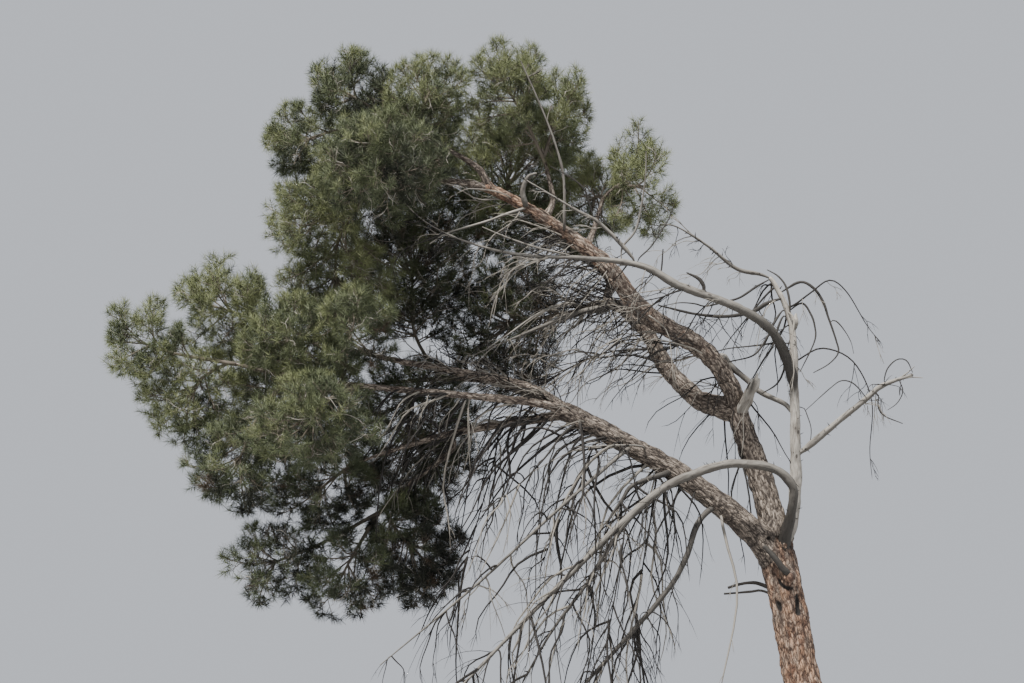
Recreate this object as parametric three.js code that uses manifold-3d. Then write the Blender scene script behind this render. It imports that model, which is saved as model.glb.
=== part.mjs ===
// A leaning pine, about 11.8 m high and 12.4 m across. Its trunk forks low into a spreading bough and a
// rising one, which carry a crown swept to one side. A dead leader with arching bare limbs stands beside.
//
// Millimetres, +Z up. The origin is on the ground at the foot of the trunk. The crown sweeps towards -X,
// and -Y is the side it is seen from.

import * as THREE from 'three';
import { mergeVertices } from 'three/addons/utils/BufferGeometryUtils.js';
import Module from 'manifold-3d';

const wasm = await Module();
wasm.setup();

// Driving dimensions

const JOINT_GAP = 0.3; // between a limb and what it grows from
const KEEP_CLEAR = 4; // between a twig or brush and any limb or other mass
const RING_STEP = 600; // between the rings of a limb
const PULL_BACK = 0.75; // how far a limb's foot lies back along its parent, in parent radii
const SPINE_SAMPLES = 60; // places tried in looking for the nearest on a spine
const FLATNESS = 0.08; // how far a tidied face may move
const GROUND = 0;
const FLARE_HEIGHT = 380; // height in which the root flare dies away
const FLARE_SWELL = 0.42; // extra radius at the ground, as a share of the trunk's
const FLARE_LOBES = 5; // root buttresses
const LOBE_DEPTH = 0.4; // how much more a buttress swells, as a share of the flare
const TIP_CROWN = { height: 0.45, radius: 0.6 }; // rounding of a limb's tip, in tip radii

const BRUSH_REACH = 580; // from the neck of a needle brush to its furthest point
const BRUSH_NEEDLES = 5; // spikes round the middle one
const FULLNESS = 1.12; // overlap of neighbouring masses' reach, before they are cut apart
const LOOSE_REACH = 1.12; // how far a brush's side spikes may pass the mass's reach
const CHOICES = 30; // places looked at for each brush
const BRUSH_TWIG = 11; // radius of the twig at the neck of a brush
const BRUSHES_PER_AREA = 7.6; // brushes for each square metre of a mass's mean radius squared
const TIP_ROOT = 60; // how deep a stem at a limb's tip is rooted
const STEM_RADII = [40, 32, 22]; // stem of a foliage mass, foot to tip
const STEM_BOW = 0.16; // how far a stem bows at its middle, as a share of its reach
const STEM_PAST_MIDDLE = 0.2; // how far a stem goes on past the middle of its mass, in mean radii
const STEM_TRIES = 60;
const STEM_LOOSENING = 20; // tries in which a stem comes to its full bow
const STEM_BACK = [0.2, 0.3]; // how far back along its limb a stem starts, as a share of its way
const TWIG_FEET = [0.3, 0.98]; // the part of a stem that bears twigs
const BRUSH_SHARE = 0.8; // the most of a twig's way that its brush takes up
const TIP_SHELL = [0.6, 1]; // where brush tips lie, from a mass's middle at 0 to its reach at 1
const TWIG_LEAD = 0.4; // how far before the nearest place a twig leaves the stem, as a share of its reach
const BRUSH_SIZES = [1, 0.8, 0.65, 0.5]; // sizes tried, so that a brush keeps to its mass's space
const BRUSH_TRIES = 24; // for each brush wanted

// Corners of a brush, in brush reaches from its neck: outwards and forwards

const SPIKE = { out: [0.78, 0.95], forward: [0.25, 0.6] };
const NOTCH = { out: 0.24, forward: 0.2 };
const MIDDLE_SPIKE = [0.9, 1];

const WHIPS_PER_MASS = 6; // bare twigs on one bare stem
const WHIP_LENGTH = [650, 1500];
const WHIP_TIP = 4;
const WHIP_FOOT = 0.7; // radius of a whip's foot, as a share of the stem's
const WHIP_STRETCH = [0.12, 0.97]; // the part of the stem that bears whips
const WHIP_SPREAD = 0.75; // how far headings stray from the drift
const WHIP_SLOWING = 0.35; // how far a whip falls short outwards as it bends down
const WHIP_DROOP = 0.55; // how far a whip's tip hangs, as a share of its length
const WHIP_TRIES = 400;
const BARE_STEM_RADII = [26, 22, 18, 14, 8];

const UP = new THREE.Vector3(0, 0, 1);

// Finishes

function finish(color, roughness) {
  return new THREE.MeshStandardMaterial({ color, roughness, metalness: 0, flatShading: true });
}

const FINISHES = {
  trunkBark: finish(0x8a6250, 0.95),
  boughBark: finish(0x6f5e52, 0.95),
  deadWood: finish(0xa39d92, 0.85),
  needles: finish(0x5d6f42, 0.8),
  bareTwigs: finish(0x6b635a, 0.9),
};

// Limbs, foot to tip. A path holds the points that the centre line passes through after it has left the
// parent, and radii are at even steps along the limb. A limb that continues another starts at its tip.

const LIMBS = [
  {
    name: 'trunk', look: 'trunkBark', sides: 16, step: 400, radii: [300, 287, 276, 266],
    path: [[20, 0, -300], [0, 0, 0], [-80, 0, 930], [-310, 0, 1960], [-490, 0, 2990], [-670, 0, 3860]],
  },
  {
    name: 'low_bough', on: 'trunk', look: 'boughBark', sides: 9, radii: [205, 174, 164, 155, 147],
    path: [[-1030, -60, 4160], [-2060, -200, 4950], [-3030, -250, 5520], [-3850, -200, 5950]],
  },
  {
    name: 'high_bough', on: 'trunk', look: 'boughBark', sides: 9,
    radii: [205, 194, 178, 146, 148, 140, 120, 98, 64],
    path: [
      [-740, 100, 4480], [-1180, 200, 5860], [-1320, 80, 6330], [-1750, -120, 6880], [-2630, -250, 7430],
      [-3280, -300, 8200], [-4300, -300, 8940], [-4960, -250, 9320],
    ],
  },
  {
    name: 'inner_bough', on: 'high_bough', look: 'boughBark', sides: 8, radii: [165, 140, 130, 112, 90, 50],
    path: [
      [-1550, 380, 6090], [-1820, 500, 6220], [-2240, 600, 6660], [-2560, 640, 7230], [-3040, 700, 7670],
      [-3800, 900, 7530],
    ],
  },
  {
    name: 'low_bough_upper', on: 'low_bough', look: 'boughBark', sides: 7, radii: [97, 75, 57, 40, 24],
    path: [[-4380, -60, 6300], [-5450, 300, 6590], [-6440, 450, 6790], [-7700, 350, 7100]],
  },
  {
    name: 'low_bough_middle', on: 'low_bough', look: 'boughBark', sides: 7, radii: [66, 56, 50, 44, 22],
    path: [[-4350, -420, 6050], [-6220, -700, 6200], [-7590, -500, 6370], [-9000, -200, 6700]],
  },
  {
    name: 'low_bough_under', on: 'low_bough', look: 'boughBark', sides: 7, radii: [72, 66, 55, 40, 20],
    path: [[-4330, 100, 5830], [-4960, 300, 5750], [-5780, 400, 5590], [-7100, 200, 5150]],
  },
  {
    name: 'low_bough_drop', on: 'low_bough_under', look: 'boughBark', sides: 6, radii: [48, 38, 24],
    path: [[-5540, 500, 5400], [-6310, 550, 4770], [-6820, 450, 4200]],
  },
  {
    name: 'low_bough_back', on: 'low_bough', look: 'boughBark', sides: 6, radii: [74, 55, 38, 24],
    path: [[-4180, 420, 6180], [-5090, 1200, 6560], [-6350, 1800, 6600], [-7300, 2000, 6450]],
  },
  {
    name: 'crown_bough_left', on: 'high_bough', look: 'boughBark', sides: 6, radii: [60, 46, 34, 22],
    path: [[-5680, -200, 9430], [-6440, -100, 9330], [-7120, 0, 9120]],
  },
  {
    name: 'crown_bough_top', on: 'high_bough', look: 'boughBark', sides: 6, radii: [52, 44, 34, 22],
    path: [[-5150, -320, 9620], [-5700, -300, 9950], [-6290, -200, 10250]],
  },
  {
    name: 'crown_bough_peak', on: 'high_bough', look: 'boughBark', sides: 6, radii: [55, 40, 24],
    path: [[-3980, 20, 9150], [-4060, 120, 9600], [-4150, 200, 10000]],
  },
  {
    name: 'crown_bough_right', on: 'high_bough', look: 'boughBark', sides: 6, radii: [55, 38, 22],
    path: [[-3350, 80, 8750], [-3200, 350, 9250], [-2950, 420, 9500]],
  },
  {
    name: 'crown_bough_back', on: 'inner_bough', look: 'boughBark', sides: 6, radii: [66, 52, 38, 24],
    path: [[-3160, 1150, 8200], [-4160, 1800, 9000], [-5150, 2050, 9350]],
  },
  {
    name: 'dead_leader', on: 'trunk', look: 'deadWood', sides: 8, radii: [100, 90, 80, 60, 50, 30],
    path: [
      [-440, -20, 4290], [-370, -60, 4930], [-380, -110, 6110], [-380, -100, 6950], [-460, -80, 7440],
      [-630, -60, 7830], [-720, -50, 7970],
    ],
  },
  {
    name: 'dead_hook', on: 'trunk', look: 'deadWood', sides: 7, step: 250, radii: [90, 84, 70, 62, 60, 60],
    path: [
      [-510, -360, 4260], [-460, -500, 4530], [-450, -560, 4740], [-570, -590, 4920], [-720, -600, 5020],
      [-1130, -630, 5110],
    ],
  },
  {
    name: 'dead_droop', on: 'dead_hook', continues: true, look: 'deadWood', sides: 6,
    radii: [60, 58, 50, 42, 34, 25, 14],
    path: [[-1840, -750, 4990], [-2580, -850, 4590], [-3980, -950, 3250], [-5380, -1000, 1810]],
  },
  {
    name: 'dead_arch', on: 'dead_leader', look: 'deadWood', sides: 7, step: 400, radii: [76, 72, 64, 60],
    path: [
      [-400, -170, 6220], [-520, -350, 6750], [-750, -500, 7110], [-1100, -660, 7350], [-1530, -790, 7520],
    ],
  },
  {
    name: 'dead_arch_left', on: 'dead_arch', continues: true, look: 'deadWood', sides: 6,
    radii: [60, 57, 40, 28, 21, 15, 10, 6],
    path: [
      [-2130, -880, 7730], [-2710, -930, 8020], [-3510, -970, 8120], [-4470, -1030, 8160],
      [-5270, -1080, 8350], [-5900, -1120, 8660], [-6380, -1150, 9140],
    ],
  },
  {
    name: 'dead_arch_upper', on: 'dead_arch_left', look: 'deadWood', sides: 5, radii: [36, 27, 18, 9],
    path: [[-2830, -960, 8140], [-3290, -1020, 8620], [-3670, -1080, 8830], [-4450, -1200, 9280]],
  },
  {
    name: 'dead_side_arm', on: 'dead_leader', look: 'deadWood', sides: 6, radii: [55, 45, 40, 36, 20],
    path: [[-260, -140, 5350], [100, -230, 5650], [660, -330, 6100], [910, -370, 6300], [1360, -400, 6460]],
  },
  {
    name: 'dead_top_arm', on: 'dead_leader', look: 'deadWood', sides: 5, radii: [36, 30, 24, 16, 8],
    path: [
      [-860, -100, 8010], [-1250, -220, 8090], [-1660, -380, 8390], [-2110, -520, 8650], [-2370, -600, 8700],
    ],
  },
  {
    name: 'dead_hanger', on: 'low_bough', look: 'deadWood', sides: 5, radii: [46, 40, 34, 22],
    path: [[-1860, -420, 4250], [-2060, -500, 3700], [-2430, -550, 3120], [-3750, -600, 1660]],
  },
  {
    name: 'long_whip', on: 'low_bough', look: 'deadWood', sides: 5, radii: [30, 24, 18, 8],
    path: [[-3060, -560, 5200], [-4000, -800, 4360], [-5090, -900, 3350], [-6510, -1000, 2160]],
  },
  {
    name: 'dead_spar', on: 'high_bough', look: 'deadWood', sides: 5, radii: [24, 20, 16, 9],
    path: [[-3820, -500, 8740], [-3840, -560, 9480], [-4080, -620, 10250], [-4470, -700, 11150]],
  },
];

// Foliage masses: the limb that feeds each, its centre, and its reach along X, Y and Z

const FOLIAGE = [
  { name: 'crown_top_left', on: 'crown_bough_top', centre: [-7050, 0, 10780], reach: [720, 850, 750] },
  { name: 'crown_shoulder', on: 'crown_bough_top', centre: [-7780, 200, 10080], reach: [640, 800, 720] },
  { name: 'crown_top_middle', on: 'crown_bough_top', centre: [-5850, -200, 10700], reach: [750, 900, 720] },
  { name: 'crown_peak', on: 'crown_bough_peak', centre: [-4650, 100, 10850], reach: [700, 850, 880] },
  { name: 'crown_top_right', on: 'crown_bough_peak', centre: [-3820, 400, 10500], reach: [500, 800, 920] },
  {
    name: 'crown_right_shoulder', on: 'crown_bough_right',
    centre: [-3400, 1050, 9320], reach: [640, 800, 850],
  },
  { name: 'crown_lobe_right', on: 'crown_bough_right', centre: [-2620, 200, 9400], reach: [600, 720, 1050] },
  { name: 'crown_left', on: 'crown_bough_left', centre: [-7640, 450, 8900], reach: [780, 1300, 800] },
  { name: 'crown_front', on: 'crown_bough_left', centre: [-6500, -1200, 9450], reach: [1020, 1100, 880] },
  { name: 'crown_back', on: 'crown_bough_back', centre: [-6400, 1850, 10200], reach: [1250, 1200, 1050] },
  { name: 'crown_back_right', on: 'crown_bough_back', centre: [-4600, 1950, 9850], reach: [1200, 1150, 1250] },
  { name: 'crown_under', on: 'crown_bough_left', centre: [-7250, 800, 8020], reach: [1050, 1300, 700] },
  { name: 'limb_tip', on: 'low_bough_middle', centre: [-10130, -100, 6980], reach: [740, 750, 740] },
  { name: 'low_top_left', on: 'low_bough_upper', centre: [-9000, 300, 7550], reach: [780, 850, 850] },
  { name: 'low_left', on: 'low_bough_middle', centre: [-9420, 100, 6200], reach: [880, 850, 800] },
  { name: 'low_top', on: 'low_bough_upper', centre: [-7850, -400, 6950], reach: [880, 950, 750] },
  { name: 'low_middle', on: 'low_bough_upper', centre: [-6900, -1000, 7050], reach: [720, 800, 700] },
  { name: 'low_front', on: 'low_bough_middle', centre: [-7450, -1500, 5650], reach: [1000, 850, 750] },
  { name: 'low_under_left', on: 'low_bough_middle', centre: [-8650, -300, 5100], reach: [880, 850, 780] },
  { name: 'low_belly', on: 'low_bough_under', centre: [-7500, 400, 4800], reach: [900, 900, 700] },
  { name: 'skirt_left', on: 'low_bough_drop', centre: [-8200, 0, 3680], reach: [760, 750, 680] },
  { name: 'skirt_middle', on: 'low_bough_drop', centre: [-7100, -100, 3520], reach: [780, 850, 720] },
  { name: 'skirt_right', on: 'low_bough_drop', centre: [-6050, 500, 3920], reach: [780, 800, 920] },
  { name: 'low_back', on: 'low_bough_back', centre: [-8100, 1900, 6500], reach: [1200, 1100, 1100] },
  { name: 'low_back_under', on: 'low_bough_back', centre: [-6200, 1800, 5750], reach: [1250, 1150, 1250] },
  { name: 'heart', on: 'inner_bough', centre: [-4700, 1450, 7500], reach: [950, 900, 1300] },
  { name: 'back_middle', on: 'low_bough_back', centre: [-6100, 1900, 8450], reach: [1350, 1150, 1200] },
];

// Bare masses: a dead side stem and the whips that hang from it

const BARE_TWIGS = [
  {
    name: 'hangers_low', on: 'low_bough', drift: [-0.5, 0, -0.5],
    path: [[-3380, -330, 5400], [-3560, -450, 5000], [-3900, -560, 4300], [-4230, -600, 3450]],
  },
  {
    name: 'hangers_under', on: 'low_bough_under', drift: [-0.3, 0, -0.6],
    path: [[-4820, 160, 5500], [-4900, 80, 5080], [-5110, 0, 4320], [-5340, -100, 3500]],
  },
  {
    name: 'hangers_droop', on: 'dead_droop', drift: [-0.3, 0, -0.7],
    path: [[-2960, -930, 4150], [-3020, -1000, 3680], [-3170, -1050, 2810], [-3330, -1100, 2000]],
  },
  {
    name: 'hangers_middle', on: 'low_bough', drift: [-0.3, 0, -0.7],
    path: [[-2400, -60, 4800], [-2530, 50, 4330], [-2680, 100, 3440], [-2800, 100, 2500]],
  },
  {
    name: 'twigs_inner', on: 'inner_bough', drift: [-0.9, 0, -0.1],
    path: [[-2700, 560, 6950], [-3150, 500, 6900], [-3720, 450, 6660], [-4330, 400, 6240]],
  },
  {
    name: 'twigs_leader', on: 'dead_leader', drift: [0.4, 0, -0.5],
    path: [
      [-340, -140, 7560], [-120, -200, 7720], [160, -250, 7900], [410, -290, 7710], [700, -330, 7200],
      [920, -360, 6920],
    ],
  },
  {
    name: 'twigs_side', on: 'dead_leader', drift: [0.1, 0, -0.8],
    path: [
      [-290, -100, 6730], [50, -120, 6890], [500, -140, 6690], [770, -150, 6100], [730, -160, 5360],
      [760, -170, 4900],
    ],
  },
  {
    name: 'twigs_arch', on: 'dead_arch_left', drift: [-0.4, 0, -0.5],
    path: [
      [-2060, -900, 7670], [-2410, -910, 7530], [-2760, -850, 7190], [-3190, -800, 6780],
      [-3540, -760, 6610],
    ],
  },
];

// Helpers

const random = () => THREE.MathUtils.seededRandom();
const between = (low, high) => low + (high - low) * random();
const vector = (point) => new THREE.Vector3(...point);

function alongList(values, share) {
  const place = THREE.MathUtils.clamp(share, 0, 1) * (values.length - 1);
  const low = Math.min(Math.floor(place), values.length - 2);
  return THREE.MathUtils.lerp(values[low], values[low + 1], place - low);
}

function solidOf(geometry) {
  const bare = geometry.clone();
  bare.deleteAttribute('normal');
  bare.deleteAttribute('uv');
  const merged = mergeVertices(bare);
  const vertProperties = new Float32Array(merged.attributes.position.array);
  const triVerts = new Uint32Array(merged.index.array);
  return new wasm.Manifold(new wasm.Mesh({ numProp: 3, vertProperties, triVerts }));
}

function geometryOf(solid) {
  const { vertProperties, triVerts } = solid.getMesh();
  const geometry = new THREE.BufferGeometry();
  geometry.setAttribute('position', new THREE.BufferAttribute(vertProperties, 3));
  geometry.setIndex(new THREE.BufferAttribute(triVerts, 1));
  geometry.computeVertexNormals();
  return geometry;
}

function meshOf(name, look, solid) {
  const mesh = new THREE.Mesh(geometryOf(solid), FINISHES[look]);
  mesh.name = name;
  return mesh;
}

// The outer shell of the largest piece: loose scraps go, and a sealed hollow is filled
function largestPiece(solid) {
  const pieces = solid.decompose();
  return pieces.reduce((best, piece) => (piece.volume() > best.volume() ? piece : best));
}

// Points on flat faces and straight edges, which carry no shape, are taken out
function tidied(solid) {
  return largestPiece(solid.simplify(FLATNESS));
}

function boxesMeet(solidA, solidB) {
  const a = solidA.boundingBox();
  const b = solidB.boundingBox();
  return [0, 1, 2].every((axis) => a.min[axis] < b.max[axis] && b.min[axis] < a.max[axis]);
}

function touches(solid, others) {
  return others.some((other) => boxesMeet(solid, other) && !solid.intersect(other).isEmpty());
}

// A tapering tube: a cylinder bent along a curve, each ring at its own radius

function countSteps(curve, step) {
  return Math.max(2, Math.round(curve.getLength() / step));
}

function ringsAlong(curve, { radii, step, grow, rounded, swell }) {
  const steps = countSteps(curve, step);
  const frames = curve.computeFrenetFrames(steps, false);
  const rings = [];
  for (let i = 0; i <= steps; i += 1) {
    rings.push({
      centre: curve.getPointAt(i / steps),
      radius: alongList(radii, i / steps) + grow,
      across: frames.binormals[i],
      along: frames.tangents[i],
      up: frames.normals[i],
      swell,
    });
  }
  rings[0].centre.addScaledVector(rings[0].along, -grow);
  const tip = rings[steps];
  tip.centre.addScaledVector(tip.along, grow);
  if (rounded) {
    const crown = tip.centre.clone().addScaledVector(tip.along, TIP_CROWN.height * tip.radius);
    rings.push({ ...tip, centre: crown, radius: TIP_CROWN.radius * tip.radius });
  }
  return rings;
}

function bentTube(curve, { radii, sides, step = RING_STEP, grow = 0, rounded = false, swell = null }) {
  const rings = ringsAlong(curve, { radii, step, grow, rounded, swell });
  const last = rings.length - 1;
  const geometry = new THREE.CylinderGeometry(1, 1, 1, sides, last);
  const position = geometry.attributes.position;
  const corner = new THREE.Vector3();
  for (let i = 0; i < position.count; i += 1) {
    corner.fromBufferAttribute(position, i);
    const ring = rings[Math.round((corner.y + 0.5) * last)];
    const lobe = swell ? swell(ring.centre.z, Math.atan2(corner.z, corner.x)) : 1;
    const point = ring.centre.clone();
    point.addScaledVector(ring.across, corner.x * ring.radius * lobe);
    point.addScaledVector(ring.up, corner.z * ring.radius * lobe);
    position.setXYZ(i, point.x, point.y, point.z);
  }
  return solidOf(geometry);
}

function smoothCurve(points) {
  return new THREE.CatmullRomCurve3(points, false, 'catmullrom', 0.5);
}

// The straight runs between a tube's rings, on which whatever grows from the tube has its foot
function spineOf(curve, step = RING_STEP) {
  const steps = countSteps(curve, step);
  const spine = new THREE.CurvePath();
  for (let i = 0; i < steps; i += 1) {
    spine.add(new THREE.LineCurve3(curve.getPointAt(i / steps), curve.getPointAt((i + 1) / steps)));
  }
  return spine;
}

// Place on a spine, as a share of its length, that lies nearest to a point
function nearestShare(spine, point) {
  let best = 0;
  let bestDistance = Infinity;
  for (let i = 0; i <= SPINE_SAMPLES; i += 1) {
    const distance = spine.getPointAt(i / SPINE_SAMPLES).distanceTo(point);
    if (distance < bestDistance) {
      best = i / SPINE_SAMPLES;
      bestDistance = distance;
    }
  }
  return best;
}

// Limbs

function rootSwell(height, angle) {
  const fade = Math.exp(-Math.max(height - GROUND, 0) / FLARE_HEIGHT);
  return 1 + FLARE_SWELL * fade * (1 + LOBE_DEPTH * Math.sin(FLARE_LOBES * angle));
}

// A foot lies on the parent's centre line, a little back from where the limb leaves it
function footOn(parent, target) {
  const share = nearestShare(parent.spine, target);
  const pull = (PULL_BACK * alongList(parent.radii, share)) / parent.spine.getLength();
  return parent.spine.getPointAt(THREE.MathUtils.clamp(share - pull, 0, 1));
}

function tipOf(limb) {
  return { point: limb.curve.getPointAt(1), along: limb.curve.getTangentAt(1) };
}

function limbCurve(spec, parent) {
  const points = spec.path.map(vector);
  if (!parent) {
    return smoothCurve(points);
  }
  if (spec.continues) {
    const { point, along } = tipOf(parent);
    return smoothCurve([point.clone().addScaledVector(along, -parent.radii.at(-1)), point, ...points]);
  }
  return smoothCurve([footOn(parent, points[0]), ...points]);
}

function growLimb(spec, limbs) {
  const parent = limbs.find((limb) => limb.name === spec.on);
  const goesOn = LIMBS.some((other) => other.on === spec.name && other.continues);
  const curve = limbCurve(spec, parent);
  const { radii, sides, step = RING_STEP } = spec;
  const form = { radii, sides, step, rounded: !goesOn, swell: parent ? null : rootSwell };
  let solid = bentTube(curve, form);
  if (!parent) {
    solid = solid.trimByPlane([0, 0, 1], GROUND);
  }
  if (spec.continues) {
    const { point, along } = tipOf(parent);
    solid = solid.trimByPlane(along.toArray(), point.dot(along) + JOINT_GAP);
  }
  for (const limb of limbs) {
    if (boxesMeet(solid, limb.shell) && !(spec.continues && limb === parent)) {
      solid = solid.subtract(limb.shell);
    }
  }
  return {
    ...spec,
    curve,
    spine: spineOf(curve, step),
    solid: tidied(solid),
    shell: bentTube(curve, { ...form, grow: JOINT_GAP }),
    guard: bentTube(curve, { ...form, grow: KEEP_CLEAR }),
  };
}

function growLimbs() {
  const limbs = [];
  for (const spec of LIMBS) {
    limbs.push(growLimb(spec, limbs));
  }
  return limbs;
}

// A mass's space is its ellipsoid, cut from each neighbour's by a plane, so that no two spaces meet

function makeSpace(spec) {
  const reach = vector(spec.reach).multiplyScalar(FULLNESS);
  const mean = Math.cbrt(reach.x * reach.y * reach.z);
  return { centre: vector(spec.centre), reach, mean };
}

function inSpace(point, space, spaces) {
  const offset = point.clone().sub(space.centre);
  if (offset.clone().divide(space.reach).length() > LOOSE_REACH) {
    return false;
  }
  return spaces.every((other) => {
    if (other === space) {
      return true;
    }
    const own = offset.lengthSq() - space.mean ** 2;
    const others = point.distanceToSquared(other.centre) - other.mean ** 2;
    const apart = 2 * space.centre.distanceTo(other.centre);
    return (others - own) / apart > KEEP_CLEAR;
  });
}

// Stems. A stem leaves its limb and bows, one way or another, to stay clear of all that is there already.

function stemCurve(space, parent, bow, backward) {
  const length = parent.spine.getLength();
  const nearest = nearestShare(parent.spine, space.centre);
  const away = parent.spine.getPointAt(nearest).distanceTo(space.centre);
  const share = THREE.MathUtils.clamp(nearest - (backward * away) / length, 0.2, 1 - TIP_ROOT / length);
  const foot = parent.spine.getPointAt(share);
  const reach = space.centre.clone().sub(foot);
  const end = space.centre.clone().addScaledVector(reach.clone().normalize(), STEM_PAST_MIDDLE * space.mean);
  const middle = foot.clone().addScaledVector(reach, 0.5).addScaledVector(bow, STEM_BOW * reach.length());
  return smoothCurve([foot, middle, end]);
}

function randomDirection() {
  const direction = new THREE.Vector3();
  do {
    direction.set(between(-1, 1), between(-1, 1), between(-1, 1));
  } while (direction.length() > 1 || direction.length() < 0.1);
  return direction.normalize();
}

function growStem(spec, index, limbs, stems) {
  THREE.MathUtils.seededRandom(1000 + index);
  const parent = limbs.find((limb) => limb.name === spec.on);
  const space = makeSpace(spec);
  const obstacles = [...limbs.filter((limb) => limb !== parent), ...stems].map((thing) => thing.guard);
  const form = { radii: STEM_RADII, sides: 5, step: RING_STEP };
  for (let attempt = 0; attempt < STEM_TRIES; attempt += 1) {
    const bow = randomDirection().multiplyScalar(attempt / STEM_LOOSENING);
    const back = between(STEM_BACK[0], STEM_BACK[1] + attempt / (2 * STEM_LOOSENING));
    const curve = stemCurve(space, parent, bow, back);
    const solid = largestPiece(bentTube(curve, form).subtract(parent.shell));
    if (!touches(solid, obstacles)) {
      const guard = bentTube(curve, { ...form, grow: KEEP_CLEAR });
      return { ...spec, space, spine: spineOf(curve, form.step), solid, guard };
    }
  }
  throw new Error(`no clear way for the stem of ${spec.name}`);
}

// A brush of needles: a three-sided twig that opens into a ring of spikes round a middle one

function ringFaces(start, count, next) {
  const faces = [];
  for (let i = 0; i < count; i += 1) {
    faces.push([start + i, start + ((i + 1) % count), next + ((i + 1) % count)]);
    faces.push([start + i, next + ((i + 1) % count), next + i]);
  }
  return faces;
}

function brushFaces() {
  const points = 2 * BRUSH_NEEDLES;
  const neck = 3;
  const star = 6;
  const front = star + points;
  const faces = [[0, 2, 1], ...ringFaces(0, 3, neck)];
  for (let i = 0; i < points; i += 1) {
    const next = (i + 1) % points;
    const back = Math.floor((3 * i) / points);
    const nextBack = Math.floor((3 * (i + 1)) / points) % 3;
    faces.push([neck + back, star + next, star + i]);
    if (nextBack !== back) {
      faces.push([neck + back, neck + nextBack, star + next]);
    }
    faces.push([front, star + i, star + next]);
  }
  return faces;
}

const BRUSH_FACES = brushFaces();

function brushCorners(foot, neck, reach, turn) {
  const along = neck.clone().sub(foot).normalize();
  const across = new THREE.Vector3().crossVectors(along, UP);
  across.normalize();
  const up = new THREE.Vector3().crossVectors(across, along);
  const corner = (base, angle, radius, forward) => base.clone()
    .addScaledVector(across, Math.cos(angle) * radius)
    .addScaledVector(up, Math.sin(angle) * radius)
    .addScaledVector(along, forward);
  const corners = [];
  for (const base of [foot, neck]) {
    for (let i = 0; i < 3; i += 1) {
      corners.push(corner(base, -turn - (2 * Math.PI * i) / 3, BRUSH_TWIG, 0));
    }
  }
  for (let i = 0; i < 2 * BRUSH_NEEDLES; i += 1) {
    const angle = -turn - (Math.PI * i) / BRUSH_NEEDLES;
    const spike = i % 2 === 0;
    const out = spike ? between(...SPIKE.out) : NOTCH.out;
    const forward = spike ? between(...SPIKE.forward) : NOTCH.forward;
    corners.push(corner(neck, angle, reach * out, reach * forward));
  }
  corners.push(corner(neck, 0, 0, reach * between(...MIDDLE_SPIKE)));
  return corners;
}

function closedSolid(corners, faces) {
  const geometry = new THREE.BufferGeometry();
  geometry.setAttribute('position', new THREE.Float32BufferAttribute(corners.flatMap((c) => c.toArray()), 3));
  geometry.setIndex(faces.flat());
  return solidOf(geometry);
}

// The twig leaves the stem a little before the place nearest to its brush's tip
function growBrush(tip, stem, spaces) {
  const length = stem.spine.getLength();
  const share = nearestShare(stem.spine, tip);
  const away = stem.spine.getPointAt(share).distanceTo(tip);
  const footShare = THREE.MathUtils.clamp(share - (TWIG_LEAD * away) / length, ...TWIG_FEET);
  const foot = stem.spine.getPointAt(footShare);
  const back = foot.clone().sub(tip);
  const reach = Math.min(BRUSH_REACH, BRUSH_SHARE * back.length());
  const turn = between(0, Math.PI);
  for (const size of BRUSH_SIZES) {
    const neck = tip.clone().addScaledVector(back, (reach * size) / back.length());
    const corners = brushCorners(foot, neck, reach * size, turn);
    if (corners.every((corner) => inSpace(corner, stem.space, spaces))) {
      return closedSolid(corners, BRUSH_FACES);
    }
  }
  return null;
}

// Of several places in the mass, the one furthest from the brush tips there are
function roomyPlace(tips, space, spaces) {
  let best = space.centre;
  let bestRoom = -1;
  for (let i = 0; i < CHOICES; i += 1) {
    const offset = randomDirection().multiplyScalar(between(...TIP_SHELL)).multiply(space.reach);
    const place = offset.add(space.centre);
    const room = Math.min(...tips.map((other) => other.distanceTo(place)), Infinity);
    if (room > bestRoom && inSpace(place, space, spaces)) {
      best = place;
      bestRoom = room;
    }
  }
  return best;
}

// Brushes root in the stem and keep off each other, the limbs and the stems of other masses
function growFoliage(stem, index, obstacles, spaces) {
  THREE.MathUtils.seededRandom(2000 + index);
  const wanted = Math.round(BRUSHES_PER_AREA * (stem.space.mean / 1000) ** 2);
  const tips = [];
  const brushes = [];
  const outside = [];
  for (let attempt = 0; attempt < BRUSH_TRIES * wanted && brushes.length < wanted; attempt += 1) {
    const tip = roomyPlace(tips, stem.space, spaces);
    const brush = growBrush(tip, stem, spaces);
    if (brush && touches(brush, [stem.solid]) && !touches(brush, obstacles)) {
      const free = brush.subtract(stem.solid);
      if (!touches(free, outside)) {
        brushes.push(brush);
        outside.push(free);
        tips.push(tip);
      }
    }
  }
  return tidied(wasm.Manifold.union([stem.solid, ...brushes]));
}

// Bare masses. Whips leave the stem sideways and droop, all drifting the same way.

function whipCurve(foot, drift) {
  const heading = randomDirection().multiplyScalar(WHIP_SPREAD).add(vector(drift)).normalize();
  const length = between(...WHIP_LENGTH);
  const points = [0, 1 / 3, 2 / 3, 1].map((share) => foot.clone()
    .addScaledVector(heading, length * share * (1 - WHIP_SLOWING * share))
    .addScaledVector(UP, -WHIP_DROOP * length * share ** 2));
  return smoothCurve(points);
}

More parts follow.
